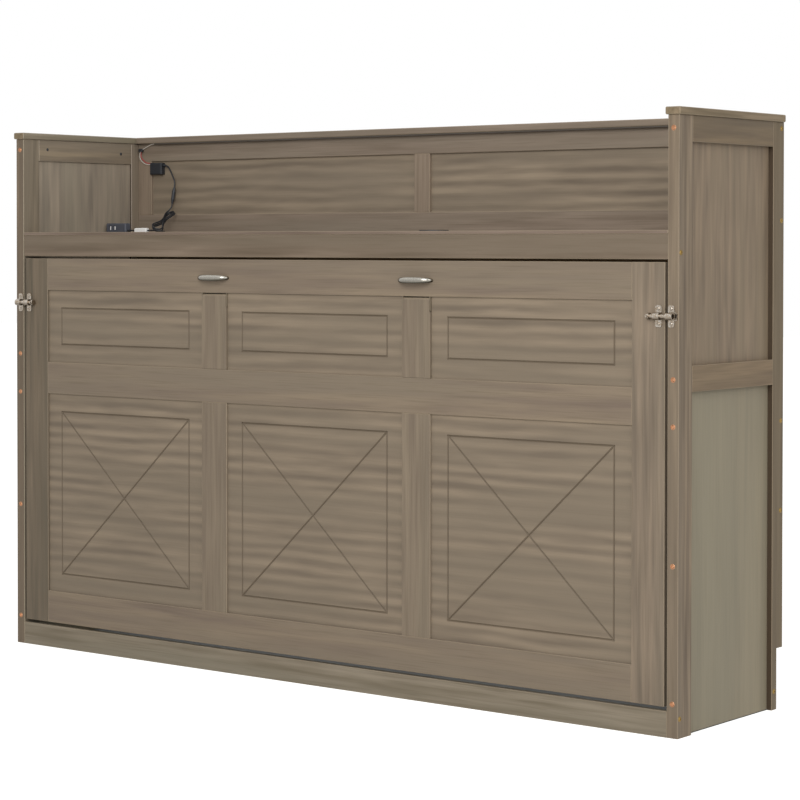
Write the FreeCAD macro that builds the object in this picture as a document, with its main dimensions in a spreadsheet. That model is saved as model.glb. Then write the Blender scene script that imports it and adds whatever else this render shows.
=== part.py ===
"""Horizontal wall bed: a shelf-topped cabinet whose panelled front folds down as a single bed.

Frame: X to the right along the front, Y to the wall, Z up. The origin is on the floor, in the middle
of the object's box. All sizes are millimetres and come from the sheet below.
"""
import FreeCAD, Part
import math
import os
import re
from FreeCAD import Placement, Rotation, Vector

os.makedirs("parts", exist_ok=True)
doc = FreeCAD.newDocument("WallBed")

# Driving dimensions
SIZES = [
    ("width", 2060, "over the two sides"),
    ("depth", 470, "front of the posts to the wall"),
    ("side_thickness", 28, "posts, stiles and rails of the sides"),
    ("post_width", 58, "front posts, seen from the side"),
    ("side_stile", 50, "rear stiles, seen from the side"),
    ("side_rail", 58, "top and middle rails of the sides"),
    ("side_rail_drop", 9, "underside of the middle rail below the top of the door's middle rail"),
    ("side_panel", 10, "panel thickness in the sides"),
    ("side_recess", 13, "panel set-back from the outer face"),
    ("floor_gap", 2, "lower side panel to the floor"),
    ("tongue", 7, "how far a panel runs into its groove"),
    ("skirting_depth", 28, "notch at the wall for the skirting board"),
    ("skirting_height", 142, "top of that notch"),
    ("edge_ease", 1, "eased edges of the boards"),
    ("cap_thickness", 17, "caps on the sides and back"),
    ("cap_overhang", 5, "caps past the sides and posts"),
    ("back_cap_width", 38, "cap along the back, front edge to the wall"),
    ("cap_round", 3, "rounded upper edges of the caps"),
    ("back_thickness", 22, "frame of the back"),
    ("back_stile", 50, "stiles and top rail of the back"),
    ("back_rail_show", 51, "lower rail of the back above the shelf"),
    ("back_rail_drop", 25, "lower rail of the back below the fascia"),
    ("back_opening", 150, "between the lower and top rails of the back"),
    ("back_panel", 6, "panel thickness in the back"),
    ("back_recess", 8, "panel set-back in the back"),
    ("shelf_thickness", 8, "shelf board"),
    ("fascia_gap", 6, "top of the door to the fascia"),
    ("fascia_height", 56, "fascia under the shelf"),
    ("fascia_thickness", 18, "fascia and plinth boards"),
    ("fascia_setback", 1.5, "fascia behind the front edge of the shelf"),
    ("plinth_height", 58, "board along the floor"),
    ("stretcher_base", 416, "underside of the rear stretcher"),
    ("stretcher_height", 90, "rear stretcher"),
    ("wall_hole_pitch", 812.8, "between wall bolts, two stud spaces"),
    ("wall_hole_rise", 55, "upper wall bolts above the bottom of their rail"),
    ("wall_hole", 9, "wall bolt holes"),
    ("door_gap", 7, "door to the posts"),
    ("door_sill", 9, "plinth to the underside of the door"),
    ("lower_bay", 528, "height of the door's lower openings"),
    ("upper_bay", 192, "height of the door's upper openings"),
    ("door_thickness", 28, "stiles and rails of the door"),
    ("door_member", 84, "width of every stile, rail and muntin of the door"),
    ("door_panel", 6, "panel thickness in the door"),
    ("door_recess", 5, "panel set-back in the door"),
    ("groove_margin", 48, "routed rectangle from the edge of a bay"),
    ("groove_depth", 2.5, "routed V lines of the panels, twice as wide as deep"),
    ("leg_thickness", 15.5, "fold-out legs in the upper muntins"),
    ("leg_pocket", 18, "backing boards behind the legs, from the front face"),
    ("leg_gap", 0.6, "leg to its bracket ears and to the rails"),
    ("leg_axis_drop", 10, "leg pin below the top rail"),
    ("leg_foot_gap", 1, "foot to the floor with the bed down"),
    ("bracket_steel", 2, "steel of the leg brackets"),
    ("bracket_height", 34, "ears of the leg brackets"),
    ("leg_pin", 6, "leg pins"),
    ("run_clearance", 0.05, "radial clearance of turning and sliding fits"),
    ("pivot_depth", 40, "bed pivot behind the front face"),
    ("pivot_pin", 12, "bed pivot pins"),
    ("pivot_steel", 3, "pivot plates"),
    ("pivot_plate", 34, "pivot plate along the depth"),
    ("pivot_plate_height", 90, "pivot plate"),
    ("bush_wall", 3, "pivot bushes"),
    ("bush_flange", 1.5, "pivot bush flange thickness"),
    ("bed_end_thickness", 15, "end boards of the bed box"),
    ("bed_end_gap", 32, "end boards to the sides"),
    ("bed_lip", 118, "rear edge of the bed box behind the front face"),
    ("bed_inset", 8, "bed box above the underside of the door"),
    ("bed_top_drop", 14, "bed box below the top of the door"),
    ("bed_rail", 18, "long rails of the bed box"),
    ("bed_corner", 30, "rounded rear corners of the end boards"),
    ("ledge", 20, "slat ledges along the long rails"),
    ("slat_seat", 60, "slats behind the front face"),
    ("slat_width", 70, "slats"),
    ("slat_thickness", 12, "slats"),
    ("slat_count", 12, "slats"),
    ("spring_top_depth", 250, "upper spring stud behind the front face"),
    ("spring_low_depth", 60, "lower spring stud behind the front face"),
    ("spring_low_drop", 100, "lower spring stud under the bed pivot"),
    ("spring_body", 18, "gas spring cylinder"),
    ("spring_rod", 8, "gas spring rod"),
    ("spring_body_length", 420, "gas spring cylinder length"),
    ("spring_eye", 18, "gas spring end eyes"),
    ("spring_eye_width", 10, "gas spring end eyes along the stud"),
    ("stud_pin", 8, "spring studs"),
    ("stud_plate", 3, "spring stud plates"),
    ("pull_length", 101, "bow pulls"),
    ("pull_reach", 26, "bow pulls from the door"),
    ("pull_height", 15, "bow pulls at mid-length"),
    ("pull_foot", 8, "bow pulls at their feet"),
    ("pull_drop", 46, "bow pulls under the top of the door"),
    ("latch_drop", 118, "axis of the slide bolts below the top of the door"),
    ("latch_plate", 48, "bolt and keeper plates, upright"),
    ("latch_plate_width", 16, "bolt and keeper plates"),
    ("latch_steel", 2, "bolt and keeper plates"),
    ("latch_inset", 7, "bolt plate from the edge of the door"),
    ("latch_barrel", 17, "barrels of the bolt guide and the keeper"),
    ("latch_round", 5, "rounded ends of the latch plates"),
    ("latch_head", 15, "head on the inner end of the bolt"),
    ("latch_head_length", 6, "head of the bolt"),
    ("latch_knob", 5, "knob of the bolt"),
    ("latch_knob_reach", 12, "knob from the bolt's axis"),
    ("latch_bolt", 10, "slide bolts"),
    ("latch_bolt_length", 47, "slide bolts"),
    ("latch_stand", 8.6, "bolt axis from the front face"),
    ("latch_tip_gap", 1, "withdrawn bolt to the keeper loop"),
    ("keeper_inset", 2, "keeper plate from the inner edge of the post"),
    ("keeper_lobe", 10, "two lobes at the outer end of the keeper"),
    ("keeper_lobe_rise", 4.5, "lobes above and below the bolt's axis"),
    ("bolt_head", 9, "visible bolt heads"),
    ("bolt_head_height", 1.6, "visible bolt heads"),
    ("bolt_socket", 4, "hexagon sockets across flats"),
    ("bolt_step_upper", 103, "third bolt of the post below the second"),
    ("bolt_step_lower", 304, "fourth bolt of the post below the third"),
    ("bolt_foot", 75, "lowest bolt of the post"),
    ("end_bolt_inset", 15, "side bolts from the edge of the board they hold"),
    ("strip_width", 10, "light strip under the back cap"),
    ("strip_thickness", 3, "light strip"),
    ("strip_inset", 74, "light strip from the sides"),
    ("strip_gap", 2, "light strip behind the front of the back cap"),
    ("controller_width", 44, "light controller"),
    ("controller_height", 33, "light controller"),
    ("controller_thickness", 16, "light controller"),
    ("controller_inset", 1.5, "light controller from the panel's corner"),
    ("controller_gap", 4.5, "light controller under the top rail of the back"),
    ("controller_round", 2, "rounded edges of the light controller"),
    ("outlet_width", 75, "power outlet on the shelf"),
    ("outlet_depth", 22, "power outlet"),
    ("outlet_height", 26, "power outlet"),
    ("outlet_inset", 5, "power outlet from the left side"),
    ("outlet_setback", 311, "power outlet behind the front face"),
    ("outlet_round", 4, "rounded edges of the power outlet"),
    ("port_width", 8, "charging ports of the outlet"),
    ("port_height", 13, "charging ports"),
    ("port_depth", 3, "charging ports"),
    ("port_pitch", 17, "between the charging ports and from the end"),
    ("grommet_flange", 74, "cable grommet in the shelf"),
    ("grommet_bore", 60, "hole in the shelf"),
    ("grommet_lip", 4, "cable grommet above the shelf"),
    ("grommet_wall", 3, "cable grommet"),
    ("grommet_fit", 0.3, "cable grommet to its hole"),
    ("grommet_side", 148, "cable grommet right of the middle"),
    ("grommet_setback", 300, "cable grommet behind the front face"),
    ("lead", 4, "power lead"),
    ("wire", 2.6, "two-core light lead"),
    ("hank_bend", 12, "bends of the folded spare lead"),
    ("hank_run", 78, "straights of the folded spare lead"),
    ("hank_pitch", 4.6, "between the loops of the folded lead"),
    ("hank_turns", 2, "loops of the folded lead"),
    ("switch_length", 44, "in-line switch on the power lead"),
    ("switch_width", 14, "in-line switch"),
    ("switch_height", 11.4, "in-line switch"),
    ("switch_round", 2, "rounded edges of the in-line switch"),
]
ALIASES = {name for name, value, note in SIZES}

# Heights that follow from the stack of pieces, from the floor up
STACK = {
    "door_base": "(plinth_height + door_sill)",
    "door_middle": "(door_base + door_member + lower_bay)",
    "door_top": "(door_middle + 2 * door_member + upper_bay)",
    "side_rail_base": "(door_middle + door_member - side_rail_drop)",
    "fascia_base": "(door_top + fascia_gap)",
    "shelf_top": "(fascia_base + fascia_height + shelf_thickness)",
    "back_rail_top": "(shelf_top + back_rail_show)",
    "post_height": "(back_rail_top + back_opening + back_stile)",
    "latch_height": "(door_top - latch_drop)",
    "bolt_upper": "(side_rail_base + side_rail / 2 - bolt_step_upper)",
    "bolt_lower": "(bolt_upper - bolt_step_lower)",
}

sheet = doc.addObject("Spreadsheet::Sheet", "Sizes")
for row, (name, value, note) in enumerate(SIZES, start=1):
    sheet.set(f"A{row}", name)
    sheet.set(f"B{row}", str(value))
    sheet.set(f"C{row}", note)
    sheet.setAlias(f"B{row}", name)
doc.recompute()


def formula(text):
    """An expression in sheet names, with the stack's heights spelled out."""
    def spelled(word):
        name = word.group()
        if name in STACK:
            return formula(STACK[name])
        return f"Sizes.{name}" if name in ALIASES else name

    return re.sub(r"[a-z_]+", spelled, text)


def size(name):
    """The number in a sheet cell."""
    return float(sheet.get(name))


# Derived places, as expressions
FRONT = "(-(depth - pull_reach) / 2)"
WALL = f"({FRONT} + depth)"
INSIDE = "(width / 2 - side_thickness)"
BACK_FACE = f"({WALL} - back_thickness)"
DOOR_HALF = f"({INSIDE} - door_gap)"
BAY_SPAN = f"(2 * {DOOR_HALF} - 4 * door_member)"
BAY = f"({BAY_SPAN} / 3)"
MUNTIN = f"(({BAY} + door_member) / 2)"
UPPER_BASE = "(door_middle + door_member)"
UPPER_TOP = "(door_top - door_member)"
LOWER_BASE = "(door_base + door_member)"
LEG_AXIS = f"({UPPER_TOP} - leg_axis_drop)"
LEG_REACH = f"({LEG_AXIS} - {UPPER_BASE} - leg_gap)"
PIVOT_HEIGHT = f"(pivot_depth - leg_thickness / 2 + {LEG_REACH} + leg_foot_gap)"
BED_HALF = f"({INSIDE} - bed_end_gap)"
BED_BASE = "(door_base + bed_inset)"
BED_TOP = "(door_top - bed_top_drop)"
SPRING_TOP = "(side_rail_base + side_rail / 2)"

values = doc.addObject("App::FeaturePython", "DerivedSizes")


def measure(name, text):
    """A derived size as a number, kept in the document as a bound property."""
    values.addProperty("App::PropertyFloat", name)
    values.setExpression(name, formula(text))
    doc.recompute()
    return getattr(values, name)


nodes = {}


def keep(label, thing):
    """Name a finished piece: the label is its node."""
    thing.Label = label
    nodes[label] = thing
    return thing


def bind(thing, **texts):
    """Bind properties to expressions; x, y and z are the placement."""
    for name, text in texts.items():
        target = f"Placement.Base.{name}" if name in ("x", "y", "z") else name
        thing.setExpression(target, formula(text))


def body_at(name, x, y, z):
    """An empty body at a bound place."""
    body = doc.addObject("PartDesign::Body", name)
    bind(body, x=x, y=y, z=z)
    return body


def block(body, kind, spans, at=("0", "0", "0")):
    """An additive or subtractive box in a body."""
    box = body.newObject(f"PartDesign::{kind}Box", kind)
    bind(box, Length=spans[0], Width=spans[1], Height=spans[2], x=at[0], y=at[1], z=at[2])
    return box


def rod_cut(body, kind, radius, length, at, turn):
    """An additive or subtractive cylinder in a body, turned from Z to its direction."""
    rod = body.newObject(f"PartDesign::{kind}Cylinder", kind)
    rod.Placement = Placement(Vector(), turn)
    bind(rod, Radius=radius, Height=length, x=at[0], y=at[1], z=at[2])
    return rod


ALONG_X = Rotation(Vector(0, 1, 0), 90)
ALONG_Y = Rotation(Vector(1, 0, 0), -90)
ALONG_Z = Rotation()


def ease(body, feature, text="edge_ease", kind="Chamfer"):
    """Eased edges on all sides of a blank."""
    eased = body.newObject(f"PartDesign::{kind}", "EasedEdges")
    eased.Base = (feature, ["Edge1"])
    eased.UseAllEdges = True
    bind(eased, **{"Size" if kind == "Chamfer" else "Radius": text})
    return eased


def board(label, spans, at, cuts=(), eased=True):
    """A board with eased edges, and its grooves and notches as (spans, place) pairs."""
    body = body_at(label, *at)
    blank = block(body, "Additive", spans)
    doc.recompute()
    if eased:
        ease(body, blank)
        doc.recompute()
    for cut_spans, cut_at in cuts:
        block(body, "Subtractive", cut_spans, cut_at)
    return body


def gather(label, pieces):
    """Several separate solids in one node."""
    group = doc.addObject("Part::Compound", label)
    group.Links = pieces
    return keep(label, group)


def solid_node(label, shape, x="0", y="0", z="0"):
    """A piece whose shape is worked out here, at a bound place."""
    feature = doc.addObject("Part::Feature", label)
    feature.Shape = shape
    bind(feature, x=x, y=y, z=z)
    return feature


def outboard(side, low, span):
    """Low X of a piece given for the right-hand side, or of its mirror image on the left."""
    return low if side == "right" else f"-({low}) - ({span})"


SIDES = ("left", "right")

# Side frames: post, rear stile, two rails and two panels in grooves
RAIL_SPAN = "(depth - post_width - side_stile)"
RAIL_Y = f"{FRONT} + post_width"
GROOVE_TOP = "post_height - side_rail + tongue"
side_groups = {
    "rear_stiles": [], "side_top_rails": [], "side_middle_rails": [],
    "side_upper_panels": [], "side_lower_panels": []}
for side in SIDES:
    frame_x = outboard(side, INSIDE, "side_thickness")
    groove_x = "side_recess" if side == "left" else "side_thickness - side_recess - side_panel"
    keep(f"{side}_front_post", board(
        f"{side}_front_post", ("side_thickness", "post_width", "post_height"), (frame_x, FRONT, "0"),
        [(("side_panel", "tongue", GROOVE_TOP), (groove_x, "post_width - tongue", "0"))]))
    side_groups["rear_stiles"].append(board(
        f"{side}_rear_stile", ("side_thickness", "side_stile", "post_height"),
        (frame_x, f"{WALL} - side_stile", "0"),
        [(("side_panel", "tongue", GROOVE_TOP), (groove_x, "0", "0")),
         (("side_thickness", "skirting_depth", "skirting_height"),
          ("0", "side_stile - skirting_depth", "0"))]))
    upper_groove = (("side_panel", RAIL_SPAN, "tongue"), (groove_x, "0", "side_rail - tongue"))
    lower_groove = (("side_panel", RAIL_SPAN, "tongue"), (groove_x, "0", "0"))
    side_groups["side_top_rails"].append(board(
        f"{side}_top_rail", ("side_thickness", RAIL_SPAN, "side_rail"),
        (frame_x, RAIL_Y, "post_height - side_rail"), [lower_groove]))
    side_groups["side_middle_rails"].append(board(
        f"{side}_middle_rail", ("side_thickness", RAIL_SPAN, "side_rail"),
        (frame_x, RAIL_Y, "side_rail_base"), [upper_groove, lower_groove]))
    panel_x = outboard(side, "width / 2 - side_recess - side_panel", "side_panel")
    panel_span = f"{RAIL_SPAN} + 2 * tongue"
    side_groups["side_upper_panels"].append(board(
        f"{side}_upper_panel",
        ("side_panel", panel_span, "post_height - 2 * side_rail - side_rail_base + 2 * tongue"),
        (panel_x, f"{RAIL_Y} - tongue", "side_rail_base + side_rail - tongue"), eased=False))
    side_groups["side_lower_panels"].append(board(
        f"{side}_lower_panel", ("side_panel", panel_span, "side_rail_base + tongue - floor_gap"),
        (panel_x, f"{RAIL_Y} - tongue", "floor_gap"), eased=False))

for label, pieces in side_groups.items():
    gather(label, pieces)

# Caps with rounded edges
for side in SIDES:
    span = "side_thickness + 2 * cap_overhang"
    cap = body_at(f"{side}_cap", outboard(side, f"{INSIDE} - cap_overhang", span), f"{FRONT} - cap_overhang",
                  "post_height")
    blank = block(cap, "Additive", (span, "depth + cap_overhang", "cap_thickness"))
    doc.recompute()
    ease(cap, blank, "cap_round", "Fillet")
    keep(f"{side}_cap", cap)
BACK_CAP_HALF = f"({INSIDE} - cap_overhang)"
back_cap = body_at("back_cap", f"-{BACK_CAP_HALF}", f"{WALL} - back_cap_width", "post_height")
blank = block(back_cap, "Additive", (f"2 * {BACK_CAP_HALF}", "back_cap_width", "cap_thickness"))
doc.recompute()
ease(back_cap, blank, "cap_round", "Fillet")
keep("back_cap", back_cap)

# Back of the shelf recess: rails, stiles and two panels
INNER_SPAN = f"2 * {INSIDE}"
top_rail = board(
    "back_top_rail", (INNER_SPAN, "back_thickness", "back_stile"),
    (f"-{INSIDE}", BACK_FACE, "post_height - back_stile"),
    [((INNER_SPAN, "back_panel", "tongue"), ("0", "back_recess", "0"))])
keep("back_top_rail", top_rail)
bottom_rail = board(
    "back_bottom_rail", (INNER_SPAN, "back_thickness", "back_rail_top - fascia_base + back_rail_drop"),
    (f"-{INSIDE}", BACK_FACE, "fascia_base - back_rail_drop"),
    [((INNER_SPAN, "back_panel", "tongue"),
      ("0", "back_recess", "back_rail_top - fascia_base + back_rail_drop - tongue"))])
keep("back_bottom_rail", bottom_rail)
stretcher = board(
    "rear_stretcher", (INNER_SPAN, "back_thickness", "stretcher_height"),
    (f"-{INSIDE}", BACK_FACE, "stretcher_base"))
keep("rear_stretcher", stretcher)
keep("rear_floor_rail", board(
    "rear_floor_rail", (INNER_SPAN, "back_thickness", "plinth_height"),
    (f"-{INSIDE}", f"{BACK_FACE} - skirting_depth", "0")))
for rail, height in ((bottom_rail, "wall_hole_rise"), (stretcher, "stretcher_height / 2")):
    for sign in ("-", "+"):
        hole_x = f"{INSIDE} {sign} wall_hole_pitch / 2"
        rod_cut(rail, "Subtractive", "wall_hole / 2", "back_thickness", (hole_x, "0", height), ALONG_Y)
STILE_SPAN = "post_height - back_stile - back_rail_top"
stile_groove = ("tongue", "back_panel", STILE_SPAN)
left_cut = (stile_groove, ("0", "back_recess", "0"))
right_cut = (stile_groove, ("back_stile - tongue", "back_recess", "0"))
back_stiles = []
for name, stile_x, cuts in (
    ("back_left_stile", f"-{INSIDE}", [right_cut]),
    ("back_centre_stile", "-back_stile / 2", [left_cut, right_cut]),
    ("back_right_stile", f"{INSIDE} - back_stile", [left_cut]),
):
    spans = ("back_stile", "back_thickness", STILE_SPAN)
    back_stiles.append(board(name, spans, (stile_x, BACK_FACE, "back_rail_top"), cuts))
gather("back_stiles", back_stiles)
BACK_PANEL_SPAN = f"({INSIDE} - 1.5 * back_stile + 2 * tongue)"
back_panels = []
for side in SIDES:
    panel_x = outboard(side, "back_stile / 2 - tongue", BACK_PANEL_SPAN)
    back_panels.append(board(
        f"back_{side}_panel", (BACK_PANEL_SPAN, "back_panel", f"{STILE_SPAN} + 2 * tongue"),
        (panel_x, f"{BACK_FACE} + back_recess", "back_rail_top - tongue"), eased=False))
gather("back_panels", back_panels)

# Shelf, fascia and plinth
shelf = board(
    "shelf_board", (INNER_SPAN, "depth - back_thickness", "shelf_thickness"),
    (f"-{INSIDE}", FRONT, "shelf_top - shelf_thickness"))
rod_cut(shelf, "Subtractive", "grommet_bore / 2", "shelf_thickness",
        (f"{INSIDE} + grommet_side", "grommet_setback", "0"), ALONG_Z)
keep("shelf_board", shelf)
keep("shelf_fascia", board(
    "shelf_fascia", (INNER_SPAN, "fascia_thickness", "shelf_top - shelf_thickness - fascia_base"),
    (f"-{INSIDE}", f"{FRONT} + fascia_setback", "fascia_base")))
keep("plinth", board(
    "plinth", (INNER_SPAN, "fascia_thickness", "plinth_height"), (f"-{INSIDE}", FRONT, "0")))

# Door frame: stiles, rails and lower muntins, grooved for the panels
DOOR_SPAN = "door_top - door_base"
for side in SIDES:
    groove_x = "door_member - tongue" if side == "left" else "0"
    groove = (("tongue", "door_panel", f"{DOOR_SPAN} - 2 * door_member + 2 * tongue"),
              (groove_x, "door_recess", "door_member - tongue"))
    keep(f"door_{side}_stile", board(
        f"door_{side}_stile", ("door_member", "door_thickness", DOOR_SPAN),
        (outboard(side, f"{DOOR_HALF} - door_member", "door_member"), FRONT, "door_base"), [groove]))
DOOR_RAIL = f"(2 * {DOOR_HALF} - 2 * door_member)"
low_groove = ((DOOR_RAIL, "door_panel", "tongue"), ("0", "door_recess", "0"))
high_groove = ((DOOR_RAIL, "door_panel", "tongue"), ("0", "door_recess", "door_member - tongue"))
for name, height, cuts in (
    ("door_top_rail", UPPER_TOP, [low_groove]),
    ("door_middle_rail", "door_middle", [low_groove, high_groove]),
    ("door_bottom_rail", "door_base", [high_groove]),
):
    spans = (DOOR_RAIL, "door_thickness", "door_member")
    keep(name, board(name, spans, (f"-{DOOR_RAIL} / 2", FRONT, height), cuts))
LOWER_SPAN = f"(door_middle - {LOWER_BASE})"
UPPER_SPAN = f"({UPPER_TOP} - {UPPER_BASE})"
muntin_groove = ("tongue", "door_panel", LOWER_SPAN)
muntins = []
for side in SIDES:
    name = f"door_{side}_muntin"
    muntins.append(board(
        name, ("door_member", "door_thickness", LOWER_SPAN),
        (outboard(side, f"{MUNTIN} - door_member / 2", "door_member"), FRONT, LOWER_BASE),
        [(muntin_groove, ("0", "door_recess", "0")),
         (muntin_groove, ("door_member - tongue", "door_recess", "0"))]))
gather("door_muntins", muntins)


def routed_line(panel, length, at, angle):
    """A V-shaped line in a panel's face, from a point and at an angle to the floor."""
    line = panel.newObject("PartDesign::SubtractiveBox", "RoutedLine")
    turn = Rotation(Vector(0, 1, 0), -angle).multiply(Rotation(Vector(1, 0, 0), 45))
    line.Placement = Placement(Vector(), turn)
    rise = math.radians(angle)
    bind(line, Length=length, Width="groove_depth * sqrt(2)", Height="groove_depth * sqrt(2)",
         x=f"{at[0]} + groove_depth * {math.sin(rise):.6f}", y="0",
         z=f"{at[1]} - groove_depth * {math.cos(rise):.6f}")


def routed_panel(name, spans, at, field_at, crossed):
    """A door panel with a routed rectangle and, on the tall ones, a routed cross from corner to corner."""
    panel = board(name, (spans[0], "door_panel", spans[1]), at, eased=False)
    left, low = field_at
    across = f"({BAY} - 2 * groove_margin)"
    up = f"({LOWER_SPAN if crossed else UPPER_SPAN} - 2 * groove_margin)"
    for height in (low, f"{low} + {up}"):
        routed_line(panel, f"{across} + 2 * groove_depth", (f"{left} - groove_depth", height), 0)
    for place in (left, f"{left} + {across}"):
        routed_line(panel, f"{up} + 2 * groove_depth", (place, f"{low} - groove_depth"), 90)
    if crossed:
        slope = measure(f"{name}_slope", f"atan2({up}; {across}) / 1deg")
        diagonal = f"sqrt({across} ^ 2 + {up} ^ 2)"
        routed_line(panel, diagonal, (left, low), slope)
        routed_line(panel, diagonal, (left, f"{low} + {up}"), -slope)
    return panel


PANEL_Y = f"{FRONT} + door_recess"
STEP = f"({BAY} + door_member)"
lower_panels = []
upper_panels = []
for index, place in enumerate(("left", "middle", "right")):
    bay_x = f"({index - 1} * {STEP} - {BAY} / 2)"
    lower_panels.append(routed_panel(
        f"door_{place}_lower_panel", (f"{BAY} + 2 * tongue", f"{LOWER_SPAN} + 2 * tongue"),
        (f"{bay_x} - tongue", PANEL_Y, f"{LOWER_BASE} - tongue"),
        ("tongue + groove_margin", "tongue + groove_margin"), True))
    outer = 0 if place == "middle" else 1
    start = "tongue" if place == "left" else "0"
    upper_panels.append(routed_panel(
        f"door_{place}_upper_panel", (f"{BAY} + {outer} * tongue", f"{UPPER_SPAN} + 2 * tongue"),
        (f"{bay_x} - {start}", PANEL_Y, f"{UPPER_BASE} - tongue"),
        (f"{start} + groove_margin", "tongue + groove_margin"), False))
gather("door_lower_panels", lower_panels)
gather("door_upper_panels", upper_panels)

# Fold-out legs in the place of the upper muntins, each on a pin between two bracket ears
BACKER_Y = f"({FRONT} + leg_pocket)"
EAR = "(bracket_steel + leg_gap)"
EAR_SWEEP = "(sqrt((bracket_height - leg_axis_drop) ^ 2 + (leg_thickness / 2) ^ 2) + leg_gap)"
LEG_WIDTH = "(door_member - 2 * leg_gap)"
pins = []
brackets = []
backers = []
for side in SIDES:
    leg_x = outboard(side, f"{MUNTIN} - {LEG_WIDTH} / 2", LEG_WIDTH)
    leg = body_at(f"{side}_leg", leg_x, FRONT, f"{UPPER_BASE} + leg_gap")
    block(leg, "Additive", (LEG_WIDTH, "leg_thickness", LEG_REACH))
    rod_cut(leg, "Additive", "leg_thickness / 2", LEG_WIDTH, ("0", "leg_thickness / 2", LEG_REACH), ALONG_X)
    for ear_x in ("0", f"{LEG_WIDTH} - {EAR}"):
        block(leg, "Subtractive", (EAR, "leg_thickness", f"{EAR_SWEEP} + leg_thickness"),
              (ear_x, "0", f"{LEG_REACH} - {EAR_SWEEP}"))
    rod_cut(leg, "Subtractive", "leg_pin / 2 + run_clearance", LEG_WIDTH,
            ("0", "leg_thickness / 2", LEG_REACH), ALONG_X)
    keep(f"{side}_leg", leg)
    bracket = body_at(f"{side}_leg_bracket", leg_x, FRONT, f"{UPPER_TOP} - bracket_height")
    plate_y = "leg_pocket - bracket_steel"
    block(bracket, "Additive", (LEG_WIDTH, "bracket_steel", "bracket_height"), ("0", plate_y, "0"))
    for ear_x in ("0", f"{LEG_WIDTH} - bracket_steel"):
        spans = ("bracket_steel", f"{plate_y} - leg_gap", "bracket_height")
        block(bracket, "Additive", spans, (ear_x, "leg_gap", "0"))
    rod_cut(bracket, "Subtractive", "leg_pin / 2 + run_clearance", LEG_WIDTH,
            ("0", "leg_thickness / 2", "bracket_height - leg_axis_drop"), ALONG_X)
    brackets.append(bracket)
    pin = body_at(f"{side}_leg_pin", leg_x, f"{FRONT} + leg_thickness / 2", LEG_AXIS)
    rod_cut(pin, "Additive", "leg_pin / 2", LEG_WIDTH, ("0", "0", "0"), ALONG_X)
    pins.append(pin)
    backers.append(board(
        f"{side}_leg_backer",
        ("door_member + 2 * tongue", "door_thickness - leg_pocket", UPPER_SPAN),
        (outboard(side, f"{MUNTIN} - door_member / 2 - tongue", "door_member + 2 * tongue"),
         BACKER_Y, UPPER_BASE)))
gather("leg_pins", pins)
gather("leg_brackets", brackets)
gather("leg_backers", backers)

# Bed box behind the door: ends on pivot bushes, long rails with ledges, and slats
BOX_Y = f"({FRONT} + door_thickness)"
BOX_DEPTH = "(bed_lip - door_thickness)"
BUSH = "(pivot_pin / 2 + run_clearance + bush_wall)"
bushes = []
bed_ends = []
for side in SIDES:
    end_x = outboard(side, f"{BED_HALF} - bed_end_thickness", "bed_end_thickness")
    end = body_at(f"bed_{side}_end", end_x, BOX_Y, BED_BASE)
    blank = block(end, "Additive", ("bed_end_thickness", BOX_DEPTH, f"{BED_TOP} - {BED_BASE}"))
    doc.recompute()
    rounded = end.newObject("PartDesign::Fillet", "RearCorners")
    lip = blank.Shape.BoundBox.YMax
    rounded.Base = (blank, [
        f"Edge{number}" for number, edge in enumerate(blank.Shape.Edges, start=1)
        if edge.BoundBox.YMin > lip - 1 and edge.BoundBox.XLength > 1])
    bind(rounded, Radius="bed_corner")
    rod_cut(end, "Subtractive", BUSH, "bed_end_thickness",
            ("0", "pivot_depth - door_thickness", f"{PIVOT_HEIGHT} - {BED_BASE}"), ALONG_X)
    bed_ends.append(end)
    bush_x = outboard(side, f"{BED_HALF} - bed_end_thickness", "bed_end_thickness + bush_flange")
    bush = body_at(f"{side}_pivot_bush", bush_x, f"{FRONT} + pivot_depth", PIVOT_HEIGHT)
    bush_span = "bed_end_thickness + bush_flange"
    rod_cut(bush, "Additive", BUSH, bush_span, ("0", "0", "0"), ALONG_X)
    flange_x = "bed_end_thickness" if side == "right" else "0"
    rod_cut(bush, "Additive", f"{BUSH} + bush_flange", "bush_flange", (flange_x, "0", "0"), ALONG_X)
    rod_cut(bush, "Subtractive", "pivot_pin / 2 + run_clearance", bush_span, ("0", "0", "0"), ALONG_X)
    bushes.append(bush)
gather("pivot_bushes", bushes)
gather("bed_ends", bed_ends)
BOX_INNER = f"(2 * {BED_HALF} - 2 * bed_end_thickness)"
RAIL_X = f"-{BOX_INNER} / 2"
RAIL_HEIGHT = "(bed_rail + ledge)"
rebate = (BOX_INNER, "bed_lip - slat_seat", "ledge")
front_rebate = (BOX_INNER, "slat_seat - ledge - door_thickness", "ledge")
gather("bed_rails", [
    board(f"bed_{name}_rail", (BOX_INNER, BOX_DEPTH, RAIL_HEIGHT), (RAIL_X, BOX_Y, height),
          [(rebate, ("0", "slat_seat - door_thickness", cut)), (front_rebate, ("0", "0", cut))])
    for name, height, cut in (("lower", BED_BASE, "bed_rail"), ("upper", f"{BED_TOP} - {RAIL_HEIGHT}", "0"))])
slat_total = int(size("slat_count"))
slats = []
for number in range(slat_total):
    middle = f"{BOX_INNER} * {number * 2 + 1} / {slat_total * 2} - {BOX_INNER} / 2"
    slats.append(board(
        f"slat_{number + 1}", ("slat_width", "slat_thickness", f"{BED_TOP} - {BED_BASE} - 2 * bed_rail"),
        (f"{middle} - slat_width / 2", f"{FRONT} + slat_seat", f"{BED_BASE} + bed_rail")))
gather("bed_slats", slats)

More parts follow.
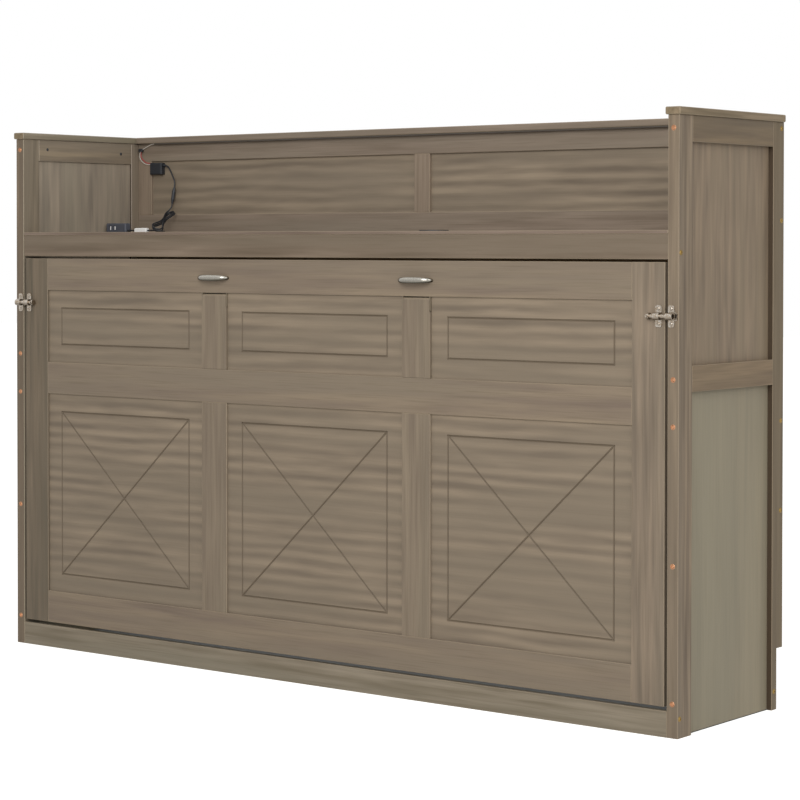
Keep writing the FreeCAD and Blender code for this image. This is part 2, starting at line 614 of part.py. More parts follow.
# Pivot plates on the posts, each with its pin through the bush
pivot_plates = []
PIN_SPAN = "(bed_end_gap + bed_end_thickness)"
for side in SIDES:
    plate = body_at(
        f"{side}_pivot_plate", outboard(side, f"{BED_HALF} - bed_end_thickness", PIN_SPAN),
        f"{FRONT} + pivot_depth", PIVOT_HEIGHT)
    plate_x = f"{PIN_SPAN} - pivot_steel" if side == "right" else "0"
    block(plate, "Additive", ("pivot_steel", "pivot_plate", "pivot_plate_height"),
          (plate_x, "-pivot_plate / 2", "-pivot_plate_height / 2"))
    rod_cut(plate, "Additive", "pivot_pin / 2", PIN_SPAN, ("0", "0", "0"), ALONG_X)
    pivot_plates.append(plate)
gather("pivot_plates", pivot_plates)

# Gas springs: a cylinder on a stud of the middle rail, its rod towards a stud on the bed end
front_y = measure("front_y", FRONT)
spring_x = measure("spring_x", f"{INSIDE} - bed_end_gap / 2")
top_eye = Vector(0, front_y + size("spring_top_depth"), measure("spring_top", SPRING_TOP))
spring_low = measure("spring_low", f"{PIVOT_HEIGHT} - spring_low_drop")
low_eye = Vector(0, front_y + size("spring_low_depth"), spring_low)
along = low_eye - top_eye
spring_length = along.Length
along.normalize()


def rod_between(start, stretch, radius):
    """A cylinder from a point, along the spring."""
    return Part.makeCylinder(radius, stretch, start, along)


def eye(centre, bore):
    """An end eye with its bore along X."""
    half = size("spring_eye_width") / 2
    ring = Part.makeCylinder(size("spring_eye") / 2, 2 * half, centre - Vector(half, 0, 0), Vector(1, 0, 0))
    return ring.cut(Part.makeCylinder(bore, 2 * half, centre - Vector(half, 0, 0), Vector(1, 0, 0)))


stud_bore = size("stud_pin") / 2 + size("run_clearance")
eye_radius = size("spring_eye") / 2
neck = eye_radius - 1
body_end = neck + size("spring_body_length")
cylinder = rod_between(top_eye + along * neck, size("spring_body_length"), size("spring_body") / 2)
cylinder = cylinder.fuse(eye(top_eye, stud_bore)).cut(
    Part.makeCylinder(stud_bore, size("spring_eye_width"),
                      top_eye - Vector(size("spring_eye_width") / 2, 0, 0), Vector(1, 0, 0)))
rod_bore = size("spring_rod") / 2 + size("run_clearance")
bore_start = neck + size("spring_body")
cylinder = cylinder.cut(rod_between(top_eye + along * bore_start, body_end - bore_start, rod_bore))
rod_start = body_end - size("spring_eye")
rod_shape = rod_between(top_eye + along * rod_start, spring_length - neck - rod_start, size("spring_rod") / 2)
rod_shape = rod_shape.fuse(eye(low_eye, stud_bore))
for side in SIDES:
    offset = "" if side == "right" else "-"
    centre_x = f"{offset}({INSIDE} - bed_end_gap / 2)"
    for name, shape in (("spring_cylinder", cylinder), ("spring_rod", rod_shape)):
        keep(f"{side}_{name}", solid_node(f"{side}_{name}", shape.removeSplitter(), x=centre_x))

# Spring studs: on the sides they carry the eye, on the bed they stop just short of it
EYE_HALF = "spring_eye_width / 2"
SIDE_STUD = f"(bed_end_gap / 2 + {EYE_HALF})"
BED_STUD = f"(bed_end_gap / 2 - {EYE_HALF} - leg_gap)"
STUD_SIDE = "(2 * spring_eye)"
for name, low, span, depth_text, height, wall_first in (
    ("side", f"{INSIDE} - {SIDE_STUD}", SIDE_STUD, "spring_top_depth", SPRING_TOP, False),
    ("bed", BED_HALF, BED_STUD, "spring_low_depth", f"({PIVOT_HEIGHT} - spring_low_drop)", True),
):
    studs = []
    for side in SIDES:
        stud = body_at(f"{name}_{side}_stud", outboard(side, low, span), f"{FRONT} + {depth_text}", height)
        at_low = wall_first == (side == "right")
        plate_x = "0" if at_low else f"{span} - stud_plate"
        block(stud, "Additive", ("stud_plate", STUD_SIDE, STUD_SIDE),
              (plate_x, f"-{STUD_SIDE} / 2", f"-{STUD_SIDE} / 2"))
        rod_cut(stud, "Additive", "stud_pin / 2", span, ("0", "0", "0"), ALONG_X)
        studs.append(stud)
    gather(f"{name}_spring_studs", studs)

# Bow pulls: a loft through ellipses that swell towards the middle
half_length = size("pull_length") / 2
reach = size("pull_reach") - size("pull_foot") / 2
bow_sections = []
BOW_STATIONS = 7
for station in range(BOW_STATIONS):
    turn = math.pi * station / (BOW_STATIONS - 1)
    swell = math.sin(turn)
    foot = size("pull_foot") / 2
    centre = Vector(-(half_length - foot) * math.cos(turn), -reach * swell, 0)
    tangent = Vector((half_length - foot) * math.sin(turn), -reach * math.cos(turn), 0).normalize()
    tall = foot + (size("pull_height") / 2 - foot) * swell
    ellipse = Part.Ellipse(Vector(), max(tall, foot + 0.01), foot)
    wire = Part.Wire(ellipse.toShape())
    across = Vector(0, 0, 1).cross(tangent)
    wire.Placement = Placement(centre, Rotation(Vector(0, 0, 1), across, tangent, "ZXY"))
    bow_sections.append(wire)
bow = Part.makeLoft(bow_sections, True, False)
gather("door_pulls", [
    solid_node(f"{side}_pull", bow, x=outboard(side, MUNTIN, "0"), y=FRONT, z="door_top - pull_drop")
    for side in SIDES])

# Slide bolts: guide on the door, keeper on the post, bolt drawn back clear of the keeper


def latch_plate(piece, low):
    """A rounded plate with a barrel across it, in the body of a guide or a keeper."""
    plate = block(piece, "Additive", ("latch_plate_width", "latch_steel", "latch_plate"),
                  (low, "-latch_steel", "-latch_plate / 2"))
    doc.recompute()
    rounded = piece.newObject("PartDesign::Fillet", "RoundedEnds")
    rounded.Base = (plate, [
        f"Edge{number}" for number, edge in enumerate(plate.Shape.Edges, start=1)
        if edge.BoundBox.YLength > edge.BoundBox.XLength + edge.BoundBox.ZLength])
    bind(rounded, Radius="latch_round")
    rod_cut(piece, "Additive", "latch_barrel / 2", "latch_plate_width", (low, "-latch_stand", "0"), ALONG_X)


guides = []
keepers = []
TIP = f"({INSIDE} + keeper_inset - latch_tip_gap)"
KEEPER_SPAN = "(latch_plate_width + keeper_lobe)"
for side in SIDES:
    guide_x = outboard(side, f"{DOOR_HALF} - latch_inset - latch_plate_width", "latch_plate_width")
    guide = body_at(f"{side}_bolt_guide", guide_x, FRONT, "latch_height")
    latch_plate(guide, "0")
    rod_cut(guide, "Subtractive", "latch_bolt / 2 + run_clearance", "latch_plate_width",
            ("0", "-latch_stand", "0"), ALONG_X)
    guides.append(guide)
    keeper_x = outboard(side, f"{INSIDE} + keeper_inset", KEEPER_SPAN)
    keeper = body_at(f"{side}_bolt_keeper", keeper_x, FRONT, "latch_height")
    plate_x = "0" if side == "right" else "keeper_lobe"
    lobe_x = "latch_plate_width + keeper_lobe / 4" if side == "right" else "keeper_lobe * 3 / 4"
    latch_plate(keeper, plate_x)
    for sign in ("-", ""):
        rod_cut(keeper, "Additive", "keeper_lobe / 2", "latch_steel",
                (lobe_x, "-latch_steel", f"{sign}keeper_lobe_rise"), ALONG_Y)
    rod_cut(keeper, "Subtractive", "latch_bolt / 2 + leg_gap", "latch_plate_width",
            (plate_x, "-latch_stand", "0"), ALONG_X)
    keepers.append(keeper)
    bolt = body_at(
        f"{side}_slide_bolt", outboard(side, f"{TIP} - latch_bolt_length", "latch_bolt_length"),
        f"{FRONT} - latch_stand", "latch_height")
    rod_cut(bolt, "Additive", "latch_bolt / 2", "latch_bolt_length", ("0", "0", "0"), ALONG_X)
    head_x = "0" if side == "right" else "latch_bolt_length - latch_head_length"
    rod_cut(bolt, "Additive", "latch_head / 2", "latch_head_length", (head_x, "0", "0"), ALONG_X)
    knob_at = (f"{head_x} + latch_head_length / 2", "-latch_knob_reach", "0")
    rod_cut(bolt, "Additive", "latch_knob / 2", "latch_knob_reach", knob_at, ALONG_Y)
    keep(f"{side}_slide_bolt", bolt)
gather("bolt_guides", guides)
gather("bolt_keepers", keepers)

# Bolt heads with hexagon sockets: on the fronts of the posts and on the sides
FRONT_BOLTS = (
    "post_height - side_rail / 2", "side_rail_base + side_rail / 2", "bolt_upper", "bolt_lower", "bolt_foot")
SIDE_BOLTS = (
    ("fascia_thickness / 2", "fascia_base + end_bolt_inset"),
    ("fascia_thickness / 2", "plinth_height - end_bolt_inset"),
    ("depth - back_thickness / 2", "post_height - end_bolt_inset"),
    ("depth - back_thickness / 2", "stretcher_base + stretcher_height / 2"),
    ("depth - skirting_depth - back_thickness / 2", "plinth_height - end_bolt_inset"))
head_radius = size("bolt_head") / 2
head_height = size("bolt_head_height")
head = Part.makeCone(head_radius, head_radius * 0.8, head_height)
corner = size("bolt_socket") / math.sqrt(3)
hexagon = Part.makePolygon([
    Vector(corner * math.cos(step * math.pi / 3), corner * math.sin(step * math.pi / 3), head_height / 3)
    for step in range(7)])
head = head.cut(Part.Face(hexagon).extrude(Vector(0, 0, head_height)))
front_head = head.copy()
front_head.rotate(Vector(), Vector(1, 0, 0), 90)
frame_bolts = []
for side in SIDES:
    sign = 1 if side == "right" else -1
    side_head = head.copy()
    side_head.rotate(Vector(), Vector(0, 1, 0), 90 * sign)
    for number, height in enumerate(FRONT_BOLTS, start=1):
        middle_x = outboard(side, "width / 2 - side_thickness / 2", "0")
        frame_bolts.append(solid_node(f"{side}_front_bolt_{number}", front_head, middle_x, FRONT, height))
    for number, (setback, height) in enumerate(SIDE_BOLTS, start=1):
        name = f"{side}_side_bolt_{number}"
        face_x = outboard(side, "width / 2", "0")
        frame_bolts.append(solid_node(name, side_head, face_x, f"{FRONT} + {setback}", height))
gather("frame_bolts", frame_bolts)

# Light strip under the back cap, its controller on the back panel, power outlet and grommet on the shelf
STRIP_HALF = f"({INSIDE} - strip_inset)"
keep("light_strip", board(
    "light_strip", (f"2 * {STRIP_HALF}", "strip_width", "strip_thickness"),
    (f"-{STRIP_HALF}", f"{WALL} - back_cap_width + strip_gap", "post_height - strip_thickness"), eased=False))
controller = body_at(
    "light_controller", f"-{INSIDE} + back_stile + controller_inset",
    f"{BACK_FACE} + back_recess - controller_thickness",
    "post_height - back_stile - controller_gap - controller_height")
blank = block(controller, "Additive", ("controller_width", "controller_thickness", "controller_height"))
doc.recompute()
ease(controller, blank, "controller_round", "Fillet")
keep("light_controller", controller)
outlet = body_at("power_outlet", f"-{INSIDE} + outlet_inset", f"{FRONT} + outlet_setback", "shelf_top")
blank = block(outlet, "Additive", ("outlet_width", "outlet_depth", "outlet_height"))
doc.recompute()
ease(outlet, blank, "outlet_round", "Fillet")
for number in (1, 2):
    block(outlet, "Subtractive", ("port_width", "port_depth", "port_height"),
          (f"{number} * port_pitch - port_width / 2", "0", "(outlet_height - port_height) / 2"))
keep("power_outlet", outlet)
grommet = body_at("cable_grommet", "grommet_side", f"{FRONT} + grommet_setback", "shelf_top")
rod_cut(grommet, "Additive", "grommet_flange / 2", "grommet_lip", ("0", "0", "0"), ALONG_Z)
rod_cut(grommet, "Additive", "grommet_bore / 2 - grommet_fit", "shelf_thickness + grommet_lip",
        ("0", "0", "-shelf_thickness"), ALONG_Z)
rod_cut(grommet, "Subtractive", "grommet_bore / 2 - grommet_wall", "shelf_thickness + 2 * grommet_lip",
        ("0", "0", "-shelf_thickness"), ALONG_Z)
keep("cable_grommet", grommet)


def corner_radius(before, point, after):
    """Largest neat bend at a point of a route."""
    come = point - before
    go = after - point
    turn = come.getAngle(go)
    return 0.45 * min(come.Length, go.Length) / math.tan(turn / 2), turn


def route_edges(name, points):
    """Straight runs joined by tangent arcs; prints the tightest bend."""
    edges = []
    start = points[0]
    radii = []
    for before, point, after in zip(points, points[1:], points[2:]):
        radius, turn = corner_radius(before, point, after)
        radii.append(radius)
        back = (before - point).normalize()
        ahead = (after - point).normalize()
        trim = radius * math.tan(turn / 2)
        first = point + back * trim
        last = point + ahead * trim
        bisector = (back + ahead).normalize()
        middle = point + bisector * (radius / math.cos(turn / 2) - radius)
        edges.append(Part.LineSegment(start, first).toShape())
        edges.append(Part.Arc(first, middle, last).toShape())
        start = last
    edges.append(Part.LineSegment(start, points[-1]).toShape())
    if radii:
        print(name, "bend radii", [round(radius, 1) for radius in radii])
    return edges


def tube(name, edges, diameter):
    """A round tube along joined edges, with its volume compared with its section times its length."""
    path = Part.Wire(edges)
    start = edges[0].valueAt(edges[0].FirstParameter)
    tangent = edges[0].tangentAt(edges[0].FirstParameter)
    ring = Part.Wire(Part.makeCircle(diameter / 2, start, tangent))
    shape = path.makePipeShell([ring], True, False)
    expected = math.pi * diameter ** 2 / 4 * path.Length
    print(name, "length", round(path.Length, 1), "volume over expected", round(shape.Volume / expected, 4))
    return shape


# Light lead from the strip to the controller, and the upper stretch of the power lead
LIGHT_LEAD = [
    Vector(-928, 217, 1358.5), Vector(-942, 217, 1358.5), Vector(-956, 218, 1353), Vector(-972, 220, 1347.5),
    Vector(-987, 221.5, 1341.5), Vector(-993.5, 222, 1330), Vector(-991, 222.2, 1317),
    Vector(-981.5, 222.2, 1308), Vector(-968, 222.2, 1302), Vector(-950.5, 222.2, 1302)]
PLUG_START = Vector(-862, 224, 1236)
PLUG_END = Vector(-866, 219, 1191)
plug_axis = (PLUG_END - PLUG_START).normalize()
LEAD_UPPER = [
    Vector(-906.5, 228, 1298), Vector(-893, 228, 1298), Vector(-881, 227, 1285), Vector(-870.5, 226, 1268),
    PLUG_START - plug_axis * 14, PLUG_START]
lead = size("lead")
light_lead = tube("light_lead", route_edges("light_lead", LIGHT_LEAD), size("wire"))
keep("light_lead", solid_node("light_lead", light_lead))
lead_upper = tube("lead_upper", route_edges("lead_upper", LEAD_UPPER), lead)

# In-line plug: a turned profile with a taper at each end
plug_length = (PLUG_END - PLUG_START).Length
plug_profile = Part.makePolygon([
    Vector(0, 0, 0), Vector(lead * 0.65, 0, 0), Vector(lead * 1.25, 0, plug_length * 0.25),
    Vector(lead * 1.25, 0, plug_length * 0.75), Vector(lead * 0.65, 0, plug_length),
    Vector(0, 0, plug_length), Vector(0, 0, 0)])
plug = Part.Face(plug_profile).revolve(Vector(), Vector(0, 0, 1), 360)
plug.Placement = Placement(PLUG_START, Rotation(Vector(0, 0, 1), plug_axis))
keep("lead_connector", solid_node("lead_connector", Part.Solid(plug.Solids[0])))

# Spare lead folded into a hank that leans from the shelf to the back, its loops stacked along its normal
HANK_MIDDLE = Vector(-851, 166, 1146)
hank_down = Vector(0.206, -0.853, -0.48).normalize()
hank_across = (Vector(1, 0, 0) - hank_down * hank_down.x).normalize()
hank_normal = hank_down.cross(hank_across)
bend = size("hank_bend")
straight = size("hank_run") / 2
half_step = size("hank_pitch") / 2
hank_turns = int(size("hank_turns"))


def hank_point(down, across, layer):
    """A point of the hank, from its middle."""
    return HANK_MIDDLE + hank_down * down + hank_across * across - hank_normal * layer


def hank_turn(down, across, layer):
    """Half a turn in two quarter arcs, from one straight to the next a half step on."""
    first = hank_point(down, across, layer)
    last = hank_point(down, -across, layer + half_step)
    middle = (first + last) / 2
    radius = (last - first).Length / 2
    out = hank_down * math.copysign(radius, down)
    spread = (first - last) / 2
    rise = math.sqrt(0.5)
    tip = middle + out
    return [
        Part.Arc(first, middle + out * rise + spread * rise, tip).toShape(),
        Part.Arc(tip, middle + out * rise - spread * rise, last).toShape()]


hank_edges = route_edges("lead_hank", [
    PLUG_END, PLUG_END + plug_axis * 14, hank_point(-straight, -bend, 0), hank_point(straight, -bend, 0)])
for turn in range(hank_turns):
    near = 2 * turn * half_step
    far = near + half_step
    layer = far + half_step
    hank_edges += hank_turn(straight, -bend, near)
    hank_edges.append(Part.LineSegment(
        hank_point(straight, bend, far), hank_point(-straight, bend, far)).toShape())
    hank_edges += hank_turn(-straight, bend, far)
    hank_edges.append(Part.LineSegment(
        hank_point(-straight, -bend, layer), hank_point(straight, -bend, layer)).toShape())
last_quarter = hank_turn(straight, -bend, layer)[0]
hank_end = last_quarter.valueAt(last_quarter.LastParameter)
leaving = last_quarter.tangentAt(last_quarter.LastParameter)
hank_edges.append(last_quarter)
keep("lead_hank", solid_node("lead_hank", tube("lead_hank", hank_edges, lead)))
path_points = [
    edge.valueAt(edge.FirstParameter + (edge.LastParameter - edge.FirstParameter) * step / 12)
    for edge in hank_edges for step in range(12)]
least = min(
    (one - other).Length
    for number, one in enumerate(path_points) for other in path_points[number + 40:])
print("lead_hank least gap between loops", round(least - lead, 2))

# On along the shelf to the in-line switch, and from it to the outlet
switch_start = Vector(-849, 100, 1115)
switch_end = switch_start - Vector(size("switch_length"), 0, 0)
LEAD_TAIL = [
    hank_end, hank_end + leaving * 19, Vector(-808.5, 126, 1112.8), Vector(-803.5, 113, 1113),
    Vector(-812, 100, 1115), switch_start]
outlet_end = measure("outlet_end", f"-{INSIDE} + outlet_inset + outlet_width")
lead_tail = tube("lead_tail", route_edges("lead_tail", LEAD_TAIL), lead)
lead_end = tube("lead_end", [Part.LineSegment(switch_end, Vector(outlet_end, 100, 1115)).toShape()], lead)
gather("power_lead", [
    solid_node("lead_upper", lead_upper), solid_node("lead_tail", lead_tail),
    solid_node("lead_end", lead_end)])
switch_blank = Part.makeBox(
    size("switch_length"), size("switch_width"), size("switch_height"),
    switch_end - Vector(0, size("switch_width") / 2, size("switch_height") / 2))
switch = switch_blank.makeFillet(size("switch_round"), switch_blank.Edges)
keep("lead_switch", solid_node("lead_switch", switch))

# Every object has to be sound before anything is written
doc.recompute()
for thing in doc.Objects:
    if "Invalid" in thing.State or "Error" in thing.State:
        raise RuntimeError(f"{thing.Label} failed: {thing.State}")
for label, thing in nodes.items():
    if thing.Shape.isNull() or not thing.Shape.isValid():
        raise RuntimeError(f"{label} has no sound shape")
for label, thing in nodes.items():
    thing.Shape.exportStep(f"parts/{label}.step")
print(len(nodes), "nodes", "pivot height", measure("pivot_height", PIVOT_HEIGHT))
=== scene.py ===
"""Dressed scene of the horizontal wall bed: finishes, leads, screws, lights and camera."""
import bmesh
import bpy
import math
from mathutils import Matrix, Vector


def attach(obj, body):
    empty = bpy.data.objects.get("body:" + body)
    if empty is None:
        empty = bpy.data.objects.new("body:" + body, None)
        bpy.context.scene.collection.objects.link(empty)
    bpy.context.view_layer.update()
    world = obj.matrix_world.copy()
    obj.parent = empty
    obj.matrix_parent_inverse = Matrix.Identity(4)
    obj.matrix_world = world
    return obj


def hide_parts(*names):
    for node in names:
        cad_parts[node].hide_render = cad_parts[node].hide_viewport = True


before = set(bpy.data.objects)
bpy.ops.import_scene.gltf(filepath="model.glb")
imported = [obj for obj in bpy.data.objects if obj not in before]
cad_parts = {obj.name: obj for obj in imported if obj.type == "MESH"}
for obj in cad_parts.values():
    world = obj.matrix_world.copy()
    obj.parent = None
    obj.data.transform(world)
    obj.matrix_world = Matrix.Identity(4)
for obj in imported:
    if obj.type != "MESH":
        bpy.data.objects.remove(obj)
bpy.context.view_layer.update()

scene = bpy.context.scene
MM = 0.001

# Camera at the photograph's viewing angle: place in metres, turns in radians, lens in millimetres
EYE = (3.75591, -4.80085, 1.08188)
LOOK_DOWN = 0.0207
LOOK_ROUND = 0.6794
FOCAL_LENGTH = 109.495
FRAME_SHIFT = (0.0875, -0.134)
lens = bpy.data.cameras.new("photo_camera")
lens.sensor_width = 36
lens.lens = FOCAL_LENGTH
lens.shift_x, lens.shift_y = FRAME_SHIFT
lens.clip_end = 60
camera = bpy.data.objects.new("photo_camera", lens)
camera.location = EYE
camera.rotation_euler = (math.pi / 2 - LOOK_DOWN, 0, LOOK_ROUND)
scene.collection.objects.link(camera)
scene.camera = camera


def points_in_metres(*points):
    """Millimetre points as vectors in metres."""
    return [Vector(point) * MM for point in points]


def lead_curve(name, points, diameter):
    """A round lead on one smooth line that follows its route's points."""
    curve = bpy.data.curves.new(name, "CURVE")
    curve.dimensions = "3D"
    curve.bevel_depth = diameter / 2
    curve.bevel_resolution = 4
    curve.resolution_u = 8
    curve.use_fill_caps = True
    line = curve.splines.new("NURBS")
    line.points.add(len(points) - 1)
    for knot, point in zip(line.points, points):
        knot.co = (*point, 1)
    line.order_u = 3
    line.use_endpoint_u = True
    piece = bpy.data.objects.new(name, curve)
    scene.collection.objects.link(piece)
    return piece


# Power lead: from the controller through the in-line plug, the tied hank and along the shelf to the switch
CONTROLLER_EXIT = (-906.5, 228, 1298)
PLUG_START, PLUG_END = points_in_metres((-862, 224, 1236), (-866, 219, 1191))
# The lead runs straight for this far at both ends of the plug
STRAIGHT = 0.014
plug_axis = (PLUG_END - PLUG_START).normalized()
HANK_MIDDLE = Vector((-851, 166, 1146)) * MM
hank_down = Vector((0.206, -0.853, -0.48)).normalized()
hank_across = (Vector((1, 0, 0)) - hank_down * hank_down.x).normalized()
hank_normal = hank_down.cross(hank_across)


def hank_point(down, across, layer):
    """A point of the hank in millimetres from its middle."""
    return HANK_MIDDLE + (hank_down * down + hank_across * across - hank_normal * layer) * MM


power_route = points_in_metres(
    CONTROLLER_EXIT, (-893, 228, 1298), (-881, 227, 1285), (-870.5, 226, 1268))
power_route += [
    PLUG_START - plug_axis * STRAIGHT, PLUG_START, PLUG_END, PLUG_END + plug_axis * STRAIGHT,
    hank_point(-38, -13, 0)]
# The tie draws the strands together half-way, so each turn is a bow with an open loop at both ends
# One loop's points, by its radius: beyond its middle and across it, and the rise to the next strand
HANK_LOOP = (
    (-0.6, -0.855, 0.1), (0, -1.05, 0.2), (0.62, -0.85, 0.6), (1, -0.325, 1.0), (1, 0.325, 1.3),
    (0.62, 0.85, 1.7), (0, 1.05, 2.0), (-0.6, 0.855, 2.2))
# Each turn's loops: how far from the hank's middle they are centred, and their radius
TURNS = ((38, 13), (39.5, 13.2))
# From one strand's layer to the next, in millimetres as the other sizes of the hank
LAYER = 2.3
# At the tie a strand runs straight this far each way from the middle, and this far to one side of it
WAIST = 10
ASIDE = 2.4
# The lower loops are a little narrower, and tilt by about half a millimetre for each one across
LEAN = 0.55
NARROWER = 0.92
for turn, (reach, loop) in enumerate(TURNS):
    lowest = turn * 2 * LAYER
    for way, layer, lean, width in ((1, lowest, LEAN, NARROWER), (-1, lowest + LAYER, 0, 1)):
        power_route += [
            hank_point(-way * WAIST, -way * ASIDE, layer), hank_point(way * WAIST, -way * ASIDE, layer)]
        for beyond, aside, rise in HANK_LOOP:
            across = way * loop * width * aside
            power_route.append(
                hank_point(way * (reach + loop * beyond), across, layer + rise + lean * across))
power_route += [
    hank_point(-WAIST, -ASIDE, 4 * LAYER), hank_point(WAIST, -ASIDE, 4 * LAYER),
    hank_point(30.2, -10.2, 3.7), hank_point(38, -12.5, 2.5), hank_point(46, -10.4, 4.2),
    hank_point(51, -4.2, 7.9), hank_point(51.5, 4.5, 10.5)]
power_route += points_in_metres(
    (-822, 131.9, 1112), (-808.5, 126, 1112.3), (-803.5, 113, 1113), (-812, 100, 1115), (-826, 100, 1115),
    (-849, 100, 1115))
power_lead = lead_curve("power_lead_black", power_route, diameter=0.004)

# Light lead: a white core from the strip, and a red one beside it from the clip on
white_lead = lead_curve("light_lead_white", points_in_metres(
    (-928, 217, 1358.5), (-942, 217, 1358.5), (-956, 218, 1353), (-972, 220, 1347.5), (-987, 221.5, 1341.5),
    (-993.5, 222, 1330), (-991, 222.2, 1317), (-981.5, 222.2, 1308), (-968, 222.2, 1301.4),
    (-950.5, 222.2, 1301.4)), diameter=0.0018)
red_lead = lead_curve("light_lead_red", points_in_metres(
    (-984, 219.6, 1339), (-987.4, 219.8, 1330.6), (-984.6, 220, 1321), (-976.6, 220.4, 1313),
    (-966, 221.6, 1304.6), (-950.5, 222.2, 1304.4)), diameter=0.0018)


def linear(colour):
    """A hex colour as the renderer's linear values."""
    values = [int(colour[place:place + 2], 16) / 255 for place in (1, 3, 5)]
    return (*[value / 12.92 if value <= 0.04045 else ((value + 0.055) / 1.055) ** 2.4 for value in values], 1)


def add(tree, kind, sockets, **settings):
    """A node with its settings, and its sockets given as values or as links."""
    node = tree.nodes.new(f"ShaderNode{kind}")
    for name, value in settings.items():
        setattr(node, name, value)
    for key, value in sockets.items():
        if isinstance(value, bpy.types.NodeSocket):
            tree.links.new(value, node.inputs[key])
        else:
            node.inputs[key].default_value = value
    return node


def finish_named(name):
    """A fresh material with its node tree and main shader."""
    material = bpy.data.materials.new(name)
    material.use_nodes = True
    return material, material.node_tree, material.node_tree.nodes["Principled BSDF"]


def along_grain(along, stretch):
    """Scale that draws a pattern out along one axis."""
    return tuple(stretch if axis == along else 1 for axis in "xyz")


def surface(tree, shader, colour, gloss, relief):
    """A shader's colour, roughness and relief from the nodes that make them."""
    tree.links.new(colour.outputs[2], shader.inputs["Base Color"])
    tree.links.new(gloss.outputs["Result"], shader.inputs["Roughness"])
    tree.links.new(relief.outputs["Normal"], shader.inputs["Normal"])


# Sizes in millimetres: the patches in which a veneer's ripples come and go, and the wood's pores
RIPPLE_PATCH = 70
PORE_SIZE = 3.2
# How far the ripples and the pores are drawn out along the grain, as the scale that is left there
RIPPLE_STRETCH = 0.28
PORE_STRETCH = 0.02
# Share of the stain's range that the ripples take at each end of it
RIPPLE_DEPTH = 0.22
PORE_TONE = "#5E5342"


